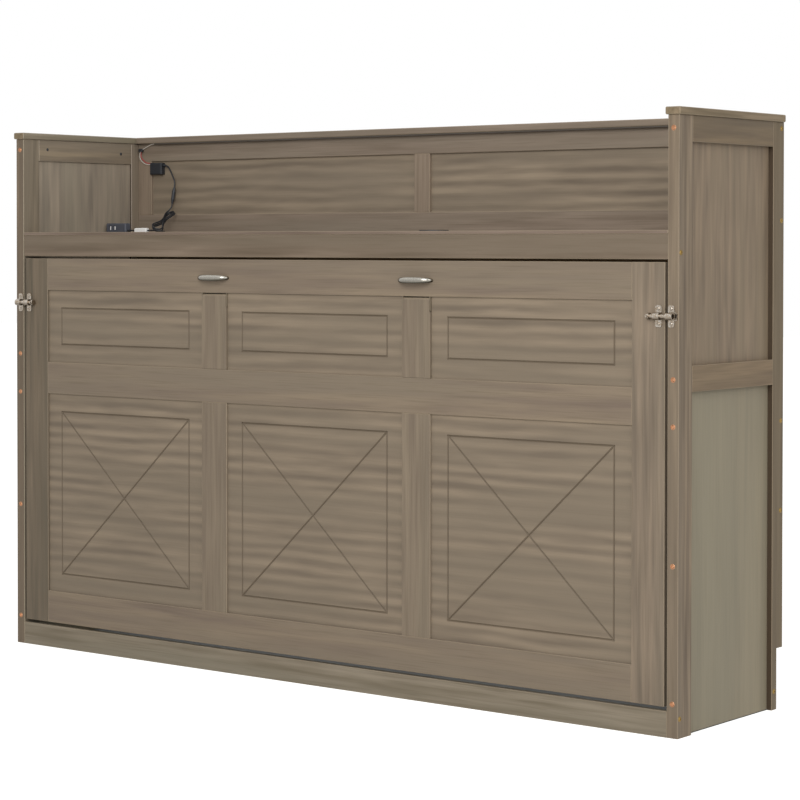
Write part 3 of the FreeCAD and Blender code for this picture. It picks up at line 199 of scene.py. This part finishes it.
def washed_pine(
        name, along, band, stretch, dark, light, tint, shift, edge="#9C8D78", pore=0.38, ripple=0, front=None,
        inner_painted_light=None):
    """Planed pine under a grey-brown wash: soft bands along the grain, fine dark pores, eased edges in a
    paler tone that is wear and a painted highlight, routed lines in a darker tone that is pooled wash and
    painted shade, and where asked painted shade on front-looking faces and painted light on faces that look
    into the cabinet.
    """
    material, tree, shader = finish_named(name)
    place = add(tree, "TexCoord", {})
    moved = add(tree, "Mapping", {
        "Vector": place.outputs["Object"], "Location": (shift, shift * 0.7, shift * 1.3),
        "Scale": along_grain(along, stretch)})
    broad = add(tree, "TexNoise", {
        "Vector": moved.outputs["Vector"], "Scale": 1 / (band * MM), "Detail": 2, "Roughness": 0.5,
        "Distortion": 0.2})
    banding = broad.outputs["Fac"]
    if ripple:
        # Cross ripples of the veneer, given by their spacing up the panel, that come and go along it
        # At a scale of 1 the wave repeats every tenth of pi
        across = add(tree, "Mapping", {
            "Vector": place.outputs["Object"], "Location": (shift, 0, shift),
            "Scale": along_grain(along, RIPPLE_STRETCH)})
        waves = add(tree, "TexWave", {
            "Vector": across.outputs["Vector"], "Scale": math.pi / (10 * ripple * MM), "Distortion": 2.2,
            "Detail": 1, "Detail Scale": 1.2, "Detail Roughness": 0.5}, bands_direction="Z")
        patch = add(tree, "TexNoise", {
            "Vector": across.outputs["Vector"], "Scale": 1 / (RIPPLE_PATCH * MM), "Detail": 1})
        calm = add(tree, "MapRange", {
            "Value": waves.outputs["Fac"], "To Min": -RIPPLE_DEPTH, "To Max": RIPPLE_DEPTH})
        faded = add(tree, "Math", {0: calm.outputs["Result"], 1: patch.outputs["Fac"]}, operation="MULTIPLY")
        even = add(tree, "MapRange", {
            "Value": banding, "To Min": RIPPLE_DEPTH, "To Max": 1 - RIPPLE_DEPTH})
        rippled = add(
            tree, "Math", {0: even.outputs["Result"], 1: faded.outputs["Value"]}, operation="ADD")
        banding = rippled.outputs["Value"]
    spread = add(tree, "MapRange", {"Value": banding, "From Min": 0.3, "From Max": 0.7})
    stain = add(tree, "Mix", {"Factor": spread.outputs["Result"], 6: linear(dark), 7: linear(light)},
                data_type="RGBA")
    # A slow drift towards the cooler wash, four times as broad as the bands
    drift = add(tree, "TexNoise", {
        "Vector": moved.outputs["Vector"], "Scale": 1 / (band * 4 * MM), "Detail": 1})
    cool = add(tree, "MapRange", {
        "Value": drift.outputs["Fac"], "From Min": 0.42, "From Max": 0.66, "To Max": 0.75})
    toned = add(tree, "Mix", {"Factor": cool.outputs["Result"], 6: stain.outputs[2], 7: linear(tint)},
                data_type="RGBA")
    # Pores, drawn coarser than the real ones so that they show
    lined = add(tree, "Mapping", {
        "Vector": place.outputs["Object"], "Location": (shift, shift, shift),
        "Scale": along_grain(along, PORE_STRETCH)})
    pores = add(tree, "TexNoise", {
        "Vector": lined.outputs["Vector"], "Scale": 1 / (PORE_SIZE * MM), "Detail": 3, "Roughness": 0.6})
    pored = add(tree, "MapRange", {
        "Value": pores.outputs["Fac"], "From Min": 0.5, "From Max": 0.75, "To Max": pore})
    grained = add(tree, "Mix", {"Factor": pored.outputs["Result"], 6: toned.outputs[2], 7: linear(PORE_TONE)},
                  data_type="RGBA")
    # Eased edges and routed lines face between the axes, and there the wash has a tone of its own: a paler
    # one is wear and a painted highlight, a darker one is pooled wash and painted shade
    facing = add(tree, "VectorMath", {0: place.outputs["Normal"]}, operation="ABSOLUTE")
    parts = add(tree, "SeparateXYZ", {"Vector": facing.outputs["Vector"]})
    wider = add(tree, "Math", {0: parts.outputs["X"], 1: parts.outputs["Y"]}, operation="MAXIMUM")
    widest = add(tree, "Math", {0: wider.outputs["Value"], 1: parts.outputs["Z"]}, operation="MAXIMUM")
    edge_wear_and_painted_light = add(tree, "MapRange", {
        "Value": widest.outputs["Value"], "From Min": 0.78, "From Max": 0.97, "To Min": 0.6, "To Max": 0})
    wear_and_painted_light = add(tree, "Mix", {"Factor": edge_wear_and_painted_light.outputs["Result"], 6: grained.outputs[2], 7: linear(edge)},
               data_type="RGBA")
    if front:
        # Beside a panel the face that looks to the front is darker, matched to the photograph: painted shade
        # of the recess
        looking = add(tree, "SeparateXYZ", {"Vector": place.outputs["Normal"]})
        front_face_painted_shade = add(tree, "Math", {0: looking.outputs["Y"], 1: -0.95}, operation="LESS_THAN")
        wear_and_painted_light = add(tree, "Mix", {"Factor": front_face_painted_shade.outputs["Value"], 6: wear_and_painted_light.outputs[2], 7: linear(front)},
                   data_type="RGBA")
    if inner_painted_light:
        # Faces that look into the cabinet are paler, matched to the photograph: painted light in the niche
        looking = add(tree, "SeparateXYZ", {"Vector": place.outputs["Normal"]})
        spot = add(tree, "SeparateXYZ", {"Vector": place.outputs["Object"]})
        outward = add(tree, "Math", {0: looking.outputs["X"], 1: spot.outputs["X"]}, operation="MULTIPLY")
        inside = add(tree, "Math", {0: outward.outputs["Value"], 1: -0.5}, operation="LESS_THAN")
        paler = add(tree, "VectorMath", {0: wear_and_painted_light.outputs[2], 1: inner_painted_light}, operation="MULTIPLY")
        wear_and_painted_light = add(tree, "Mix", {
            "Factor": inside.outputs["Value"], 6: wear_and_painted_light.outputs[2], 7: paler.outputs["Vector"]},
            data_type="RGBA")
    gloss = add(tree, "MapRange", {"Value": pores.outputs["Fac"], "To Min": 0.42, "To Max": 0.62})
    relief = add(tree, "Bump", {"Height": pores.outputs["Fac"], "Strength": 0.25, "Distance": 0.0003})
    surface(tree, shader, wear_and_painted_light, gloss, relief)
    shader.inputs["IOR"].default_value = 1.48
    shader.inputs["Specular IOR Level"].default_value = 0.2
    return material


# Metres from the middle beyond which a metal piece lies outside the cabinet's sides
OUTER_FACES = 1.029


def metal(name, colour, shade, grit, rough, bump, outer=None, under=None):
    """Plated metal: a cloudy, finely tumbled surface, with a darker tone outside the sides and on faces that
    look down, both painted shade.
    """
    material, tree, shader = finish_named(name)
    place = add(tree, "TexCoord", {})
    cloud = add(tree, "TexNoise", {
        "Vector": place.outputs["Object"], "Scale": 1 / (grit * MM), "Detail": 4, "Roughness": 0.6})
    spread = add(tree, "MapRange", {"Value": cloud.outputs["Fac"], "From Min": 0.35, "From Max": 0.65})
    tone = add(tree, "Mix", {"Factor": spread.outputs["Result"], 6: linear(colour), 7: linear(shade)},
               data_type="RGBA")
    # Outside the cabinet's sides the bolts take a darker olive tone: painted shade
    if outer:
        parts = add(tree, "SeparateXYZ", {"Vector": place.outputs["Object"]})
        away = add(tree, "Math", {0: parts.outputs["X"]}, operation="ABSOLUTE")
        outside = add(tree, "Math", {0: away.outputs["Value"], 1: OUTER_FACES}, operation="GREATER_THAN")
        tone = add(tree, "Mix", {"Factor": outside.outputs["Value"], 6: tone.outputs[2], 7: linear(outer)},
                   data_type="RGBA")
    # Faces that look down take a dark tone: painted shade under the pulls and plates
    if under:
        facing = add(tree, "SeparateXYZ", {"Vector": place.outputs["Normal"]})
        down = add(tree, "MapRange", {"Value": facing.outputs["Z"], "From Min": 0.25, "From Max": -0.45})
        tone = add(tree, "Mix", {"Factor": down.outputs["Result"], 6: tone.outputs[2], 7: linear(under)},
                   data_type="RGBA")
    gloss = add(tree, "MapRange", {
        "Value": cloud.outputs["Fac"], "To Min": rough * 0.75, "To Max": rough * 1.3})
    relief = add(tree, "Bump", {"Height": cloud.outputs["Fac"], "Strength": bump, "Distance": 0.0002})
    surface(tree, shader, tone, gloss, relief)
    shader.inputs["Metallic"].default_value = 1
    return material


# Size of the scuffs on plastic in millimetres
SCUFF = 14


def moulded(name, colour, shade, rough, grain):
    """Moulded plastic or rubber: an even colour with a fine pebbled skin and slight scuffs."""
    material, tree, shader = finish_named(name)
    place = add(tree, "TexCoord", {})
    pebble = add(tree, "TexVoronoi", {"Vector": place.outputs["Object"], "Scale": 1 / (grain * MM)})
    scuff = add(tree, "TexNoise", {
        "Vector": place.outputs["Object"], "Scale": 1 / (SCUFF * MM), "Detail": 3})
    tone = add(tree, "Mix", {"Factor": scuff.outputs["Fac"], 6: linear(colour), 7: linear(shade)},
               data_type="RGBA")
    gloss = add(tree, "MapRange", {
        "Value": scuff.outputs["Fac"], "To Min": rough - 0.1, "To Max": rough + 0.1})
    relief = add(tree, "Bump", {"Height": pebble.outputs["Distance"], "Strength": 0.2, "Distance": 0.0002})
    surface(tree, shader, tone, gloss, relief)
    shader.inputs["IOR"].default_value = 1.5
    return material


# Wash on pine lets the grain through, so each board has its own grain and place in the pattern; its tones are
# set to how it looks where it stands, so they hold painted light and shade as well as its own tone: the left
# post and the left door stile are darker as painted shade, and the back panels are paler as painted light
# Wood finishes: name, grain, width and stretch of the bands, dark, light and cool tones, place in the pattern
WOODS = (
    # The left post is darker than the right post: painted shade
    ("pine_wash_left_post", "z", 12, 0.04, "#5F5447", "#7F6F5D", "#6F6253", 18.7, ("left_front_post",)),
    ("pine_wash_right_post", "z", 12, 0.04, "#65584A", "#91806B", "#796C5C", 3.1, ("right_front_post",)),
    ("pine_wash_side_middle_rails", "y", 18, 0.06, "#6A5A47", "#907B61", "#7E6D57", 17.3,
     ("side_middle_rails",)),
    ("pine_wash_side_caps", "y", 12, 0.06, "#6E604A", "#8B7A63", "#7D6F58", 2.2, ("left_cap", "right_cap")),
    ("pine_wash_back_rails", "x", 18, 0.06, "#77695B", "#8E7F70", "#827768", 9.5,
     ("back_cap", "back_top_rail", "back_bottom_rail", "rear_stretcher", "rear_floor_rail")),
    ("pine_wash_shelf", "x", 20, 0.06, "#695A4E", "#817164", "#75675A", 1.7, ("shelf_board",)),
    ("pine_wash_fascia", "x", 20, 0.06, "#635546", "#827262", "#726657", 10.4, ("shelf_fascia",)),
    ("pine_wash_plinth", "x", 20, 0.06, "#706655", "#908574", "#807868", 16.8, ("plinth",)),
    ("pine_wash_door_rails", "x", 21, 0.06, "#76685B", "#897A67", "#7E7262", 14.2,
     ("door_top_rail", "door_middle_rail", "door_bottom_rail")),
    # The left door stile is darker than the right one: painted shade
    ("pine_wash_door_left_stile", "z", 16, 0.05, "#5A5245", "#786A59", "#695F50", 4.4,
     ("door_left_stile",)),
    ("pine_wash_door_right_stile", "z", 16, 0.05, "#6B6053", "#8E7E6C", "#7D7262", 2.9,
     ("door_right_stile",)),
    ("pine_wash_door_muntins", "z", 16, 0.05, "#736658", "#887A68", "#7D7261", 6.1,
     ("door_muntins", "left_leg", "right_leg")),
    ("pine_wash_back_stiles", "z", 16, 0.05, "#7C6D5D", "#938372", "#867A69", 8.8, ("back_stiles",)),
)
# Panels: name, grain, width and stretch of the bands, spacing of the ripples, tones, place in the pattern
PANELS = (
    ("pine_wash_door_panels", "x", 24, 0.12, 30, "#706456", "#8F806D", "#7C7060", 12.6,
     ("door_lower_panels", "door_upper_panels")),
    # The back panels are paler than the door panels: painted light in the niche
    ("pine_wash_back_panels", "x", 24, 0.12, 30, "#706456", "#988975", "#817565", 15.9, ("back_panels",)),
    ("pine_wash_side_lower_panels", "z", 40, 0.06, 0, "#847C6A", "#928873", "#8B8471", 13.4,
     ("side_lower_panels",)),
)


def dress(finish, names):
    """A finish on every slot of some nodes of the frame."""
    for name in names:
        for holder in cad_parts[name].material_slots:
            holder.material = finish


# Gains of the faces of some boards that look into the cabinet: painted light in the niche
INNER_PAINTED_LIGHT = {
    "pine_wash_left_post": (1.3, 1.4, 1.45), "pine_wash_right_post": (1.3, 1.4, 1.45),
    "pine_wash_side_caps": (1.12, 1.25, 1.43),
}
for name, along, band, stretch, dark, light, tint, shift, wooden in WOODS:
    finish = washed_pine(name, along, band, stretch, dark, light, tint, shift, inner_painted_light=INNER_PAINTED_LIGHT.get(name))
    dress(finish, wooden)
# Rear stiles: painted shade on the faces that look to the front beside the panels, painted light on the faces
# that look into the cabinet
rear_stile_finish = washed_pine(
    "pine_wash_rear_stiles", "z", 17, 0.05, "#645744", "#796A54", "#6E614E", 7.4, front="#483C2F",
    inner_painted_light=(1.52, 1.63, 1.95))
dress(rear_stile_finish, ("rear_stiles",))
# The panels' veneer shows less of its pores, and their routed lines are darker: pooled wash and painted shade
# of the grooves
PANEL_LINES = "#665A4B"
PANEL_PORES = 0.16
for name, along, band, stretch, ripple, dark, light, tint, shift, wooden in PANELS:
    finish = washed_pine(
        name, along, band, stretch, dark, light, tint, shift, PANEL_LINES, PANEL_PORES, ripple)
    dress(finish, wooden)
# Boards that are seen from both sides at the niche: name, node, grain, bands, tones, place, pores, gain of
# the painted light on faces that look into the cabinet
NICHE = (
    ("pine_wash_side_top_rails", "side_top_rails", "y", 18, 0.06, "#5B4F41", "#7C6B54", "#6C5F4E", 11.7,
     0.38, (1.48, 1.6, 1.8)),
    ("pine_wash_side_upper_panels", "side_upper_panels", "z", 20, 0.09, "#746656", "#907E69", "#837561", 5.3,
     PANEL_PORES, (1.21, 1.34, 1.5)),
)
for name, node, along, band, stretch, dark, light, tint, shift, pore, inner_painted_light in NICHE:
    dress(washed_pine(name, along, band, stretch, dark, light, tint, shift, pore=pore, inner_painted_light=inner_painted_light), (node,))

# Bare boards of the bed: name, grain, width of the bands
BARE = (
    ("pine_planed_bed_frame", "z", 22, ("bed_ends", "leg_backers")),
    ("pine_planed_bed_rails", "x", 22, ("bed_rails",)),
    ("pine_planed_slats", "z", 16, ("bed_slats",)),
)
# Their eased edges take a paler tone: a painted highlight
for name, along, band, wooden in BARE:
    finish = washed_pine(
        name, along, band, 0.06, "#B79B70", "#D0B78E", "#C4A97C", band / 3, edge="#DCC7A2")
    dress(finish, wooden)

# Metals: name, tone, shade, size of the clouding in millimetres, roughness, relief
# Nickel has a soft long highlight, zinc is brighter and its tan patches are a painted reflection of the wood,
# brass is warm and dull, chrome is sharp; their darker tones underneath and outside the sides are painted
# shade
satin_nickel = metal("nickel_satin_plated", "#B9B5AC", "#A09C93", 2.5, 0.22, 0.05, under="#4E4A42")
bright_zinc = metal("zinc_plated_steel", "#D2CEC7", "#9A8468", 2.5, 0.24, 0.15, under="#746A5E")
brass_head = metal("brass_plated_bolt", "#D6A27E", "#96684A", 1.5, 0.4, 0.1, outer="#8F7642")
chromed_rod = metal("steel_chromed_rod", "#DCDCDC", "#C4C4C4", 4, 0.12, 0.02)
# Paint and plastics: name, tone, shade, roughness, size of the pebbled skin in millimetres
# Their colour is even and their highlights are broad, a little sharper on the painted tubes
black_tube = moulded("steel_black_painted", "#17181A", "#222326", 0.4, 0.6)
wash_paint = moulded("steel_grey_brown_painted", "#6E6251", "#7C705D", 0.55, 0.8)
black_abs = moulded("abs_black_moulded", "#1B1D21", "#2A2D33", 0.48, 0.7)
grey_abs = moulded("abs_dark_grey_moulded", "#43454D", "#50535C", 0.5, 0.7)
white_abs = moulded("abs_white_moulded", "#F5F5F3", "#EAE9E5", 0.42, 0.7)
# The light strip takes a dark brown tone: painted shade, the shadow line under the back cap
strip_in_painted_shade = moulded("strip_dark_as_painted_shade", "#3F382F", "#4C443A", 0.5, 1.2)
black_lead = moulded("pvc_black_lead", "#141518", "#212328", 0.45, 0.5)
white_core = moulded("pvc_white_core", "#E6E2D8", "#D2CDC2", 0.45, 0.5)
red_core = moulded("pvc_red_core", "#A62A34", "#C23A44", 0.45, 0.5)
dress(satin_nickel, ("door_pulls",))
dress(bright_zinc, (
    "bolt_guides", "bolt_keepers", "left_slide_bolt", "right_slide_bolt", "pivot_plates", "side_spring_studs",
    "bed_spring_studs"))
dress(wash_paint, ("leg_brackets", "leg_pins"))
dress(brass_head, ("frame_bolts", "pivot_bushes"))
dress(chromed_rod, ("left_spring_rod", "right_spring_rod"))
dress(black_tube, ("left_spring_cylinder", "right_spring_cylinder"))
dress(black_abs, ("light_controller", "cable_grommet", "lead_connector"))
dress(grey_abs, ("power_outlet",))
dress(white_abs, ("lead_switch",))
dress(strip_in_painted_shade, ("light_strip",))
dress(black_lead, ("power_lead", "lead_hank"))
dress(white_core, ("light_lead",))


def place_piece(name, mesh, finish, body):
    """A finished piece from a bmesh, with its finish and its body."""
    data = bpy.data.meshes.new(name)
    mesh.to_mesh(data)
    mesh.free()
    data.materials.append(finish)
    piece = bpy.data.objects.new(name, data)
    scene.collection.objects.link(piece)
    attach(piece, body)
    return piece


def turned(mesh, profile, centre, axis, steps=24):
    """A turned shape in a mesh: a profile of radius and rise, spun about an axis through a centre."""
    axis = Vector(axis).normalized()
    side = axis.orthogonal().normalized()
    centre = Vector(centre) * MM
    corners = [mesh.verts.new(centre + (side * radius + axis * rise) * MM) for radius, rise in profile]
    edges = [mesh.edges.new(pair) for pair in zip(corners, corners[1:])]
    bmesh.ops.spin(
        mesh, geom=corners + edges, cent=centre, axis=axis, angle=2 * math.pi, steps=steps, use_merge=True)


# Points nearer than this in metres are one
MERGE = 0.000005


def close_up(mesh):
    """Merge a spun mesh's seam and poles, and turn its faces outwards."""
    bmesh.ops.remove_doubles(mesh, verts=mesh.verts, dist=MERGE)
    bmesh.ops.recalc_face_normals(mesh, faces=mesh.faces)


def rounded_block(mesh, low, high, radius, segments=3):
    """A block with rounded edges between two corners, in millimetres."""
    low = Vector(low) * MM
    high = Vector(high) * MM
    made = bmesh.ops.create_cube(mesh, size=1)
    corners = made["verts"]
    bmesh.ops.scale(mesh, vec=high - low, verts=corners)
    bmesh.ops.translate(mesh, vec=(low + high) / 2, verts=corners)
    edges = list({edge for front_face_painted_shade in corners for edge in front_face_painted_shade.link_edges})
    bmesh.ops.bevel(
        mesh, geom=edges, offset=radius * MM, affect="EDGES", segments=segments, profile=0.5, material=-1)


# Places on the cabinet in millimetres: its front, the faces of its sides, its shelf and its latches
FRONT = -222
INSIDE = 1002
OUTSIDE = 1030
SHELF = 1109
LATCH = 921
# How far behind the front the bolts of the rear stiles lie
REAR_STILE = 459
SIDES = (-1, 1)
TO_THE_FRONT = (0, -1, 0)

# Profiles of the turned shapes, as radius and rise in millimetres
PAN_HEAD = [(0, 0.35), (1.0, 0.45), (1.3, 1.35), (2.4, 1.3), (3.2, 0.9), (3.6, 0), (0, 0)]
RIM = [(4.6, 0), (4.6, 0.7), (5.4, 0.6), (5.9, 0.3), (6.1, 0), (4.6, 0)]
BOLT_HEAD = [(0, 0.3), (1.6, 0.3), (2.0, 1.4), (4.2, 1.2), (5.4, 0.6), (5.8, 0), (0, 0)]
COVER_CAP = [(0, 1.1), (2.2, 1.0), (3.6, 0.6), (4.2, 0), (0, 0)]
CONTROLLER_BOOT = [
    (0, 0), (3.6, 0), (3.4, 4), (2.8, 4.4), (3.0, 6), (2.5, 6.4), (2.6, 8), (2.05, 9), (0, 9)]
OUTLET_BOOT = [
    (0, 0), (3.4, 0), (3.2, 3), (2.6, 3.5), (2.9, 5), (2.4, 5.5), (2.6, 7), (2.2, 7.6), (2.0, 10), (2.0, 24),
    (2.6, 25), (2.8, 29), (0, 29)]
GROMMET_CAP = [(0, 2.2), (18, 2.2), (20, 3.2), (25.5, 3.4), (26.6, 2.6), (26.6, 0), (0, 0)]

# Pan-head screws in the plates of the slide bolts, with a recess in each head
PLATE = 2
SCREW_RISES = (-16.5, 16.5)
for side, sign in (("left", -1), ("right", 1)):
    for holder, body, middle in (("guide", "bed", 980), ("keeper", "cabinet", 1012)):
        mesh = bmesh.new()
        for rise in SCREW_RISES:
            turned(mesh, PAN_HEAD, (sign * middle, FRONT - PLATE, LATCH + rise), TO_THE_FRONT)
        close_up(mesh)
        place_piece(f"{side}_{holder}_screws", mesh, bright_zinc, body)

# Rolled rims round the bolt heads: heights on the posts' fronts, depths and heights on the sides
POST_MIDDLE = 1016
POST_BOLTS = (1331, 783, 680, 376, 75)
SIDE_BOLTS = ((9, 1060), (9, 43), (REAR_STILE, 1345), (REAR_STILE, 461), (431, 43))
mesh = bmesh.new()
for sign in SIDES:
    for height in POST_BOLTS:
        turned(mesh, RIM, (sign * POST_MIDDLE, FRONT, height), TO_THE_FRONT)
    for depth, height in SIDE_BOLTS:
        turned(mesh, RIM, (sign * OUTSIDE, FRONT + depth, height), (sign, 0, 0))
close_up(mesh)
place_piece("bolt_head_rims", mesh, brass_head, "cabinet")

# Heads of two more bolts in each rear stile
REAR_BOLTS = (1132, 669)
mesh = bmesh.new()
for sign in SIDES:
    for height in REAR_BOLTS:
        turned(mesh, BOLT_HEAD, (sign * OUTSIDE, FRONT + REAR_STILE, height), (sign, 0, 0))
close_up(mesh)
place_piece("rear_bolt_heads", mesh, brass_head, "cabinet")

# Cover caps of the two bolt holes inside each top rail, by depth and height
COVERED_HOLES = ((90, 1334), (377, 1330))
mesh = bmesh.new()
for sign in SIDES:
    for depth, height in COVERED_HOLES:
        turned(mesh, COVER_CAP, (sign * INSIDE, FRONT + depth, height), (-sign, 0, 0), steps=20)
close_up(mesh)
place_piece("bolt_hole_caps", mesh, black_abs, "cabinet")

# Controller: a thin lid with rounded edges, and a boot where the lead leaves it
mesh = bmesh.new()
rounded_block(mesh, (-948, 216.8, 1275), (-909, 218.4, 1303), radius=0.7, segments=2)
turned(mesh, CONTROLLER_BOOT, CONTROLLER_EXIT, (1, 0, 0))
close_up(mesh)
place_piece("controller_lid", mesh, black_abs, "cabinet")

# Power outlet: white tongues in the charging ports, and the boot of its lead
PORTS = (-980, -963)
OUTLET_EXIT = (-922, 100, 1115)
HALF_TONGUE = 1.1
mesh = bmesh.new()
for port in PORTS:
    rounded_block(
        mesh, (port - HALF_TONGUE, 89.4, SHELF + 8), (port + HALF_TONGUE, 91.9, SHELF + 18), radius=0.4,
        segments=2)
place_piece("outlet_port_tongues", mesh, white_abs, "cabinet")
mesh = bmesh.new()
turned(mesh, OUTLET_BOOT, OUTLET_EXIT, (1, 0, 0))
close_up(mesh)
outlet_boot = place_piece("outlet_lead_boot", mesh, black_lead, "cabinet")

# In-line switch: grip ribs and a rocker on top
FIRST_RIB = -888
RIB_PITCH = 2.8
RIB_WIDTH = 1.4
mesh = bmesh.new()
for rib in range(6):
    start = FIRST_RIB + rib * RIB_PITCH
    rounded_block(mesh, (start, 94.5, 1120.2), (start + RIB_WIDTH, 105.5, 1121.4), radius=0.4, segments=2)
rounded_block(mesh, (-869, 95.5, 1120.2), (-853, 104.5, 1121.9), radius=0.8)
close_up(mesh)
switch_ribs = place_piece("switch_ribs", mesh, white_abs, "cabinet")

# Cap of the cable grommet, with a shallow dish
mesh = bmesh.new()
turned(mesh, GROMMET_CAP, (148, 78, SHELF), (0, 0, 1), steps=48)
close_up(mesh)
place_piece("grommet_cap", mesh, black_abs, "cabinet")

# Corner clip of the light lead
mesh = bmesh.new()
rounded_block(mesh, (-994, 216.5, 1337), (-980, 225.8, 1346), radius=1.6)
close_up(mesh)
corner_clip = place_piece("light_lead_clip", mesh, black_abs, "cabinet")

# Wire tie round the middle of the hank and its layers of strands, in metres
TIE_RADII = (0.0062, 0.0081)
TIE_CENTRE = -0.0046
TIE_WIDTH = 0.0032
TIE_WIRE = 0.0007
mesh = bmesh.new()
ring = bmesh.ops.create_circle(mesh, cap_ends=False, radius=1, segments=28)["verts"]
tie_turn = Matrix((hank_across, hank_normal, hank_down)).transposed().to_4x4()
bmesh.ops.scale(mesh, vec=(*TIE_RADII, 1), verts=ring)
bmesh.ops.translate(mesh, vec=(0, TIE_CENTRE, -TIE_WIDTH / 2), verts=ring)
ends = bmesh.ops.extrude_edge_only(mesh, edges=mesh.edges[:])["geom"]
raised = [part for part in ends if isinstance(part, bmesh.types.BMVert)]
bmesh.ops.translate(mesh, vec=(0, 0, TIE_WIDTH), verts=raised)
bmesh.ops.transform(mesh, matrix=Matrix.Translation(HANK_MIDDLE) @ tie_turn, verts=mesh.verts)
bmesh.ops.recalc_face_normals(mesh, faces=mesh.faces)
bmesh.ops.solidify(mesh, geom=mesh.faces[:], thickness=TIE_WIRE)
hank_tie = place_piece("hank_tie", mesh, black_lead, "cabinet")

# Leads ride on the cabinet and stand for their solids
for piece, finish, slot in (
    (power_lead, black_lead, "lead_black"), (white_lead, white_core, "white_plastic"),
    (red_lead, red_core, "lead_red"),
):
    piece.data.materials.append(finish)
    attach(piece, "cabinet")
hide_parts("power_lead", "lead_hank")
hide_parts("light_lead")


def background_rays(tree):
    """One for the rays that show the background: the camera's, and those by way of gloss or glass."""
    path = add(tree, "LightPath", {})
    seen = add(tree, "Math", {
        0: path.outputs["Is Camera Ray"], 1: path.outputs["Is Glossy Ray"]}, operation="MAXIMUM")
    shown = add(tree, "Math", {
        0: seen.outputs["Value"], 1: path.outputs["Is Transmission Ray"]}, operation="MAXIMUM")
    return shown.outputs["Value"]


# Pale floor: plain light on it, and enough of its own for the camera that only the shadow shows
FLOOR_LIGHT = 0.66
FLOOR_HALF = 20
floor_finish, tree, shader = finish_named("floor_matt_white")
# Under the cabinet it is greyer with no light of its own: painted shade, so that the gap below the front
# stays dark
UNDER_HALF_WIDTH = (INSIDE + 15) * MM
UNDER_MIDDLE = 0.013
UNDER_HALF_DEPTH = 0.225
place = add(tree, "TexCoord", {})
here = add(tree, "SeparateXYZ", {"Vector": place.outputs["Object"]})
aside = add(tree, "Math", {0: here.outputs["X"]}, operation="ABSOLUTE")
beside = add(tree, "Math", {0: aside.outputs["Value"], 1: UNDER_HALF_WIDTH}, operation="GREATER_THAN")
behind = add(tree, "Math", {0: here.outputs["Y"], 1: UNDER_MIDDLE}, operation="SUBTRACT")
away = add(tree, "Math", {0: behind.outputs["Value"]}, operation="ABSOLUTE")
before = add(tree, "Math", {0: away.outputs["Value"], 1: UNDER_HALF_DEPTH}, operation="GREATER_THAN")
outside_painted_shade = add(tree, "Math", {0: beside.outputs["Value"], 1: before.outputs["Value"]}, operation="MAXIMUM")
bright = add(tree, "Math", {0: outside_painted_shade.outputs["Value"], 1: background_rays(tree)}, operation="MULTIPLY")
own = add(tree, "Math", {0: bright.outputs["Value"], 1: FLOOR_LIGHT}, operation="MULTIPLY")
ground = add(tree, "Mix", {
    "Factor": outside_painted_shade.outputs["Value"], 6: linear("#A3A7A9"), 7: linear("#E4E4E2")}, data_type="RGBA")
tree.links.new(ground.outputs[2], shader.inputs["Base Color"])
shader.inputs["Roughness"].default_value = 0.9
shader.inputs["Specular IOR Level"].default_value = 0
shader.inputs["Emission Color"].default_value = (1, 1, 1, 1)
tree.links.new(own.outputs["Value"], shader.inputs["Emission Strength"])
mesh = bmesh.new()
bmesh.ops.create_grid(mesh, x_segments=1, y_segments=1, size=FLOOR_HALF)
floor_data = bpy.data.meshes.new("studio_floor")
mesh.to_mesh(floor_data)
mesh.free()
floor_data.materials.append(floor_finish)
floor = bpy.data.objects.new("studio_floor", floor_data)
scene.collection.objects.link(floor)

# Soft studio light: an even white room, a large lamp high in front and a second at the right
ROOM_LIGHT = 0.58
# Lamps: name, place and aim in metres, size in metres, power in watts
LAMPS = (
    ("front_lamp", (2.2, -4.2, 2.8), (0, -0.2, 0.8), 2.4, 132),
    ("right_lamp", (13.4, -3.2, 6.4), (0.6, 0, 0.8), 6, 280),
)
world = bpy.data.worlds.new("white_room")
world.use_nodes = True
scene.world = world
tree = world.node_tree
level = add(tree, "MapRange", {"Value": background_rays(tree), "To Min": ROOM_LIGHT, "To Max": 1})
tree.nodes["Background"].inputs["Color"].default_value = (1, 1, 1, 1)
tree.links.new(level.outputs["Result"], tree.nodes["Background"].inputs["Strength"])
for name, spot, aim, size, power in LAMPS:
    lamp_data = bpy.data.lights.new(name, "AREA")
    lamp_data.size = size
    lamp_data.energy = power
    lamp = bpy.data.objects.new(name, lamp_data)
    lamp.location = spot
    lamp.rotation_euler = (Vector(aim) - Vector(spot)).to_track_quat("-Z", "Y").to_euler()
    scene.collection.objects.link(lamp)

scene.view_settings.view_transform = "Standard"
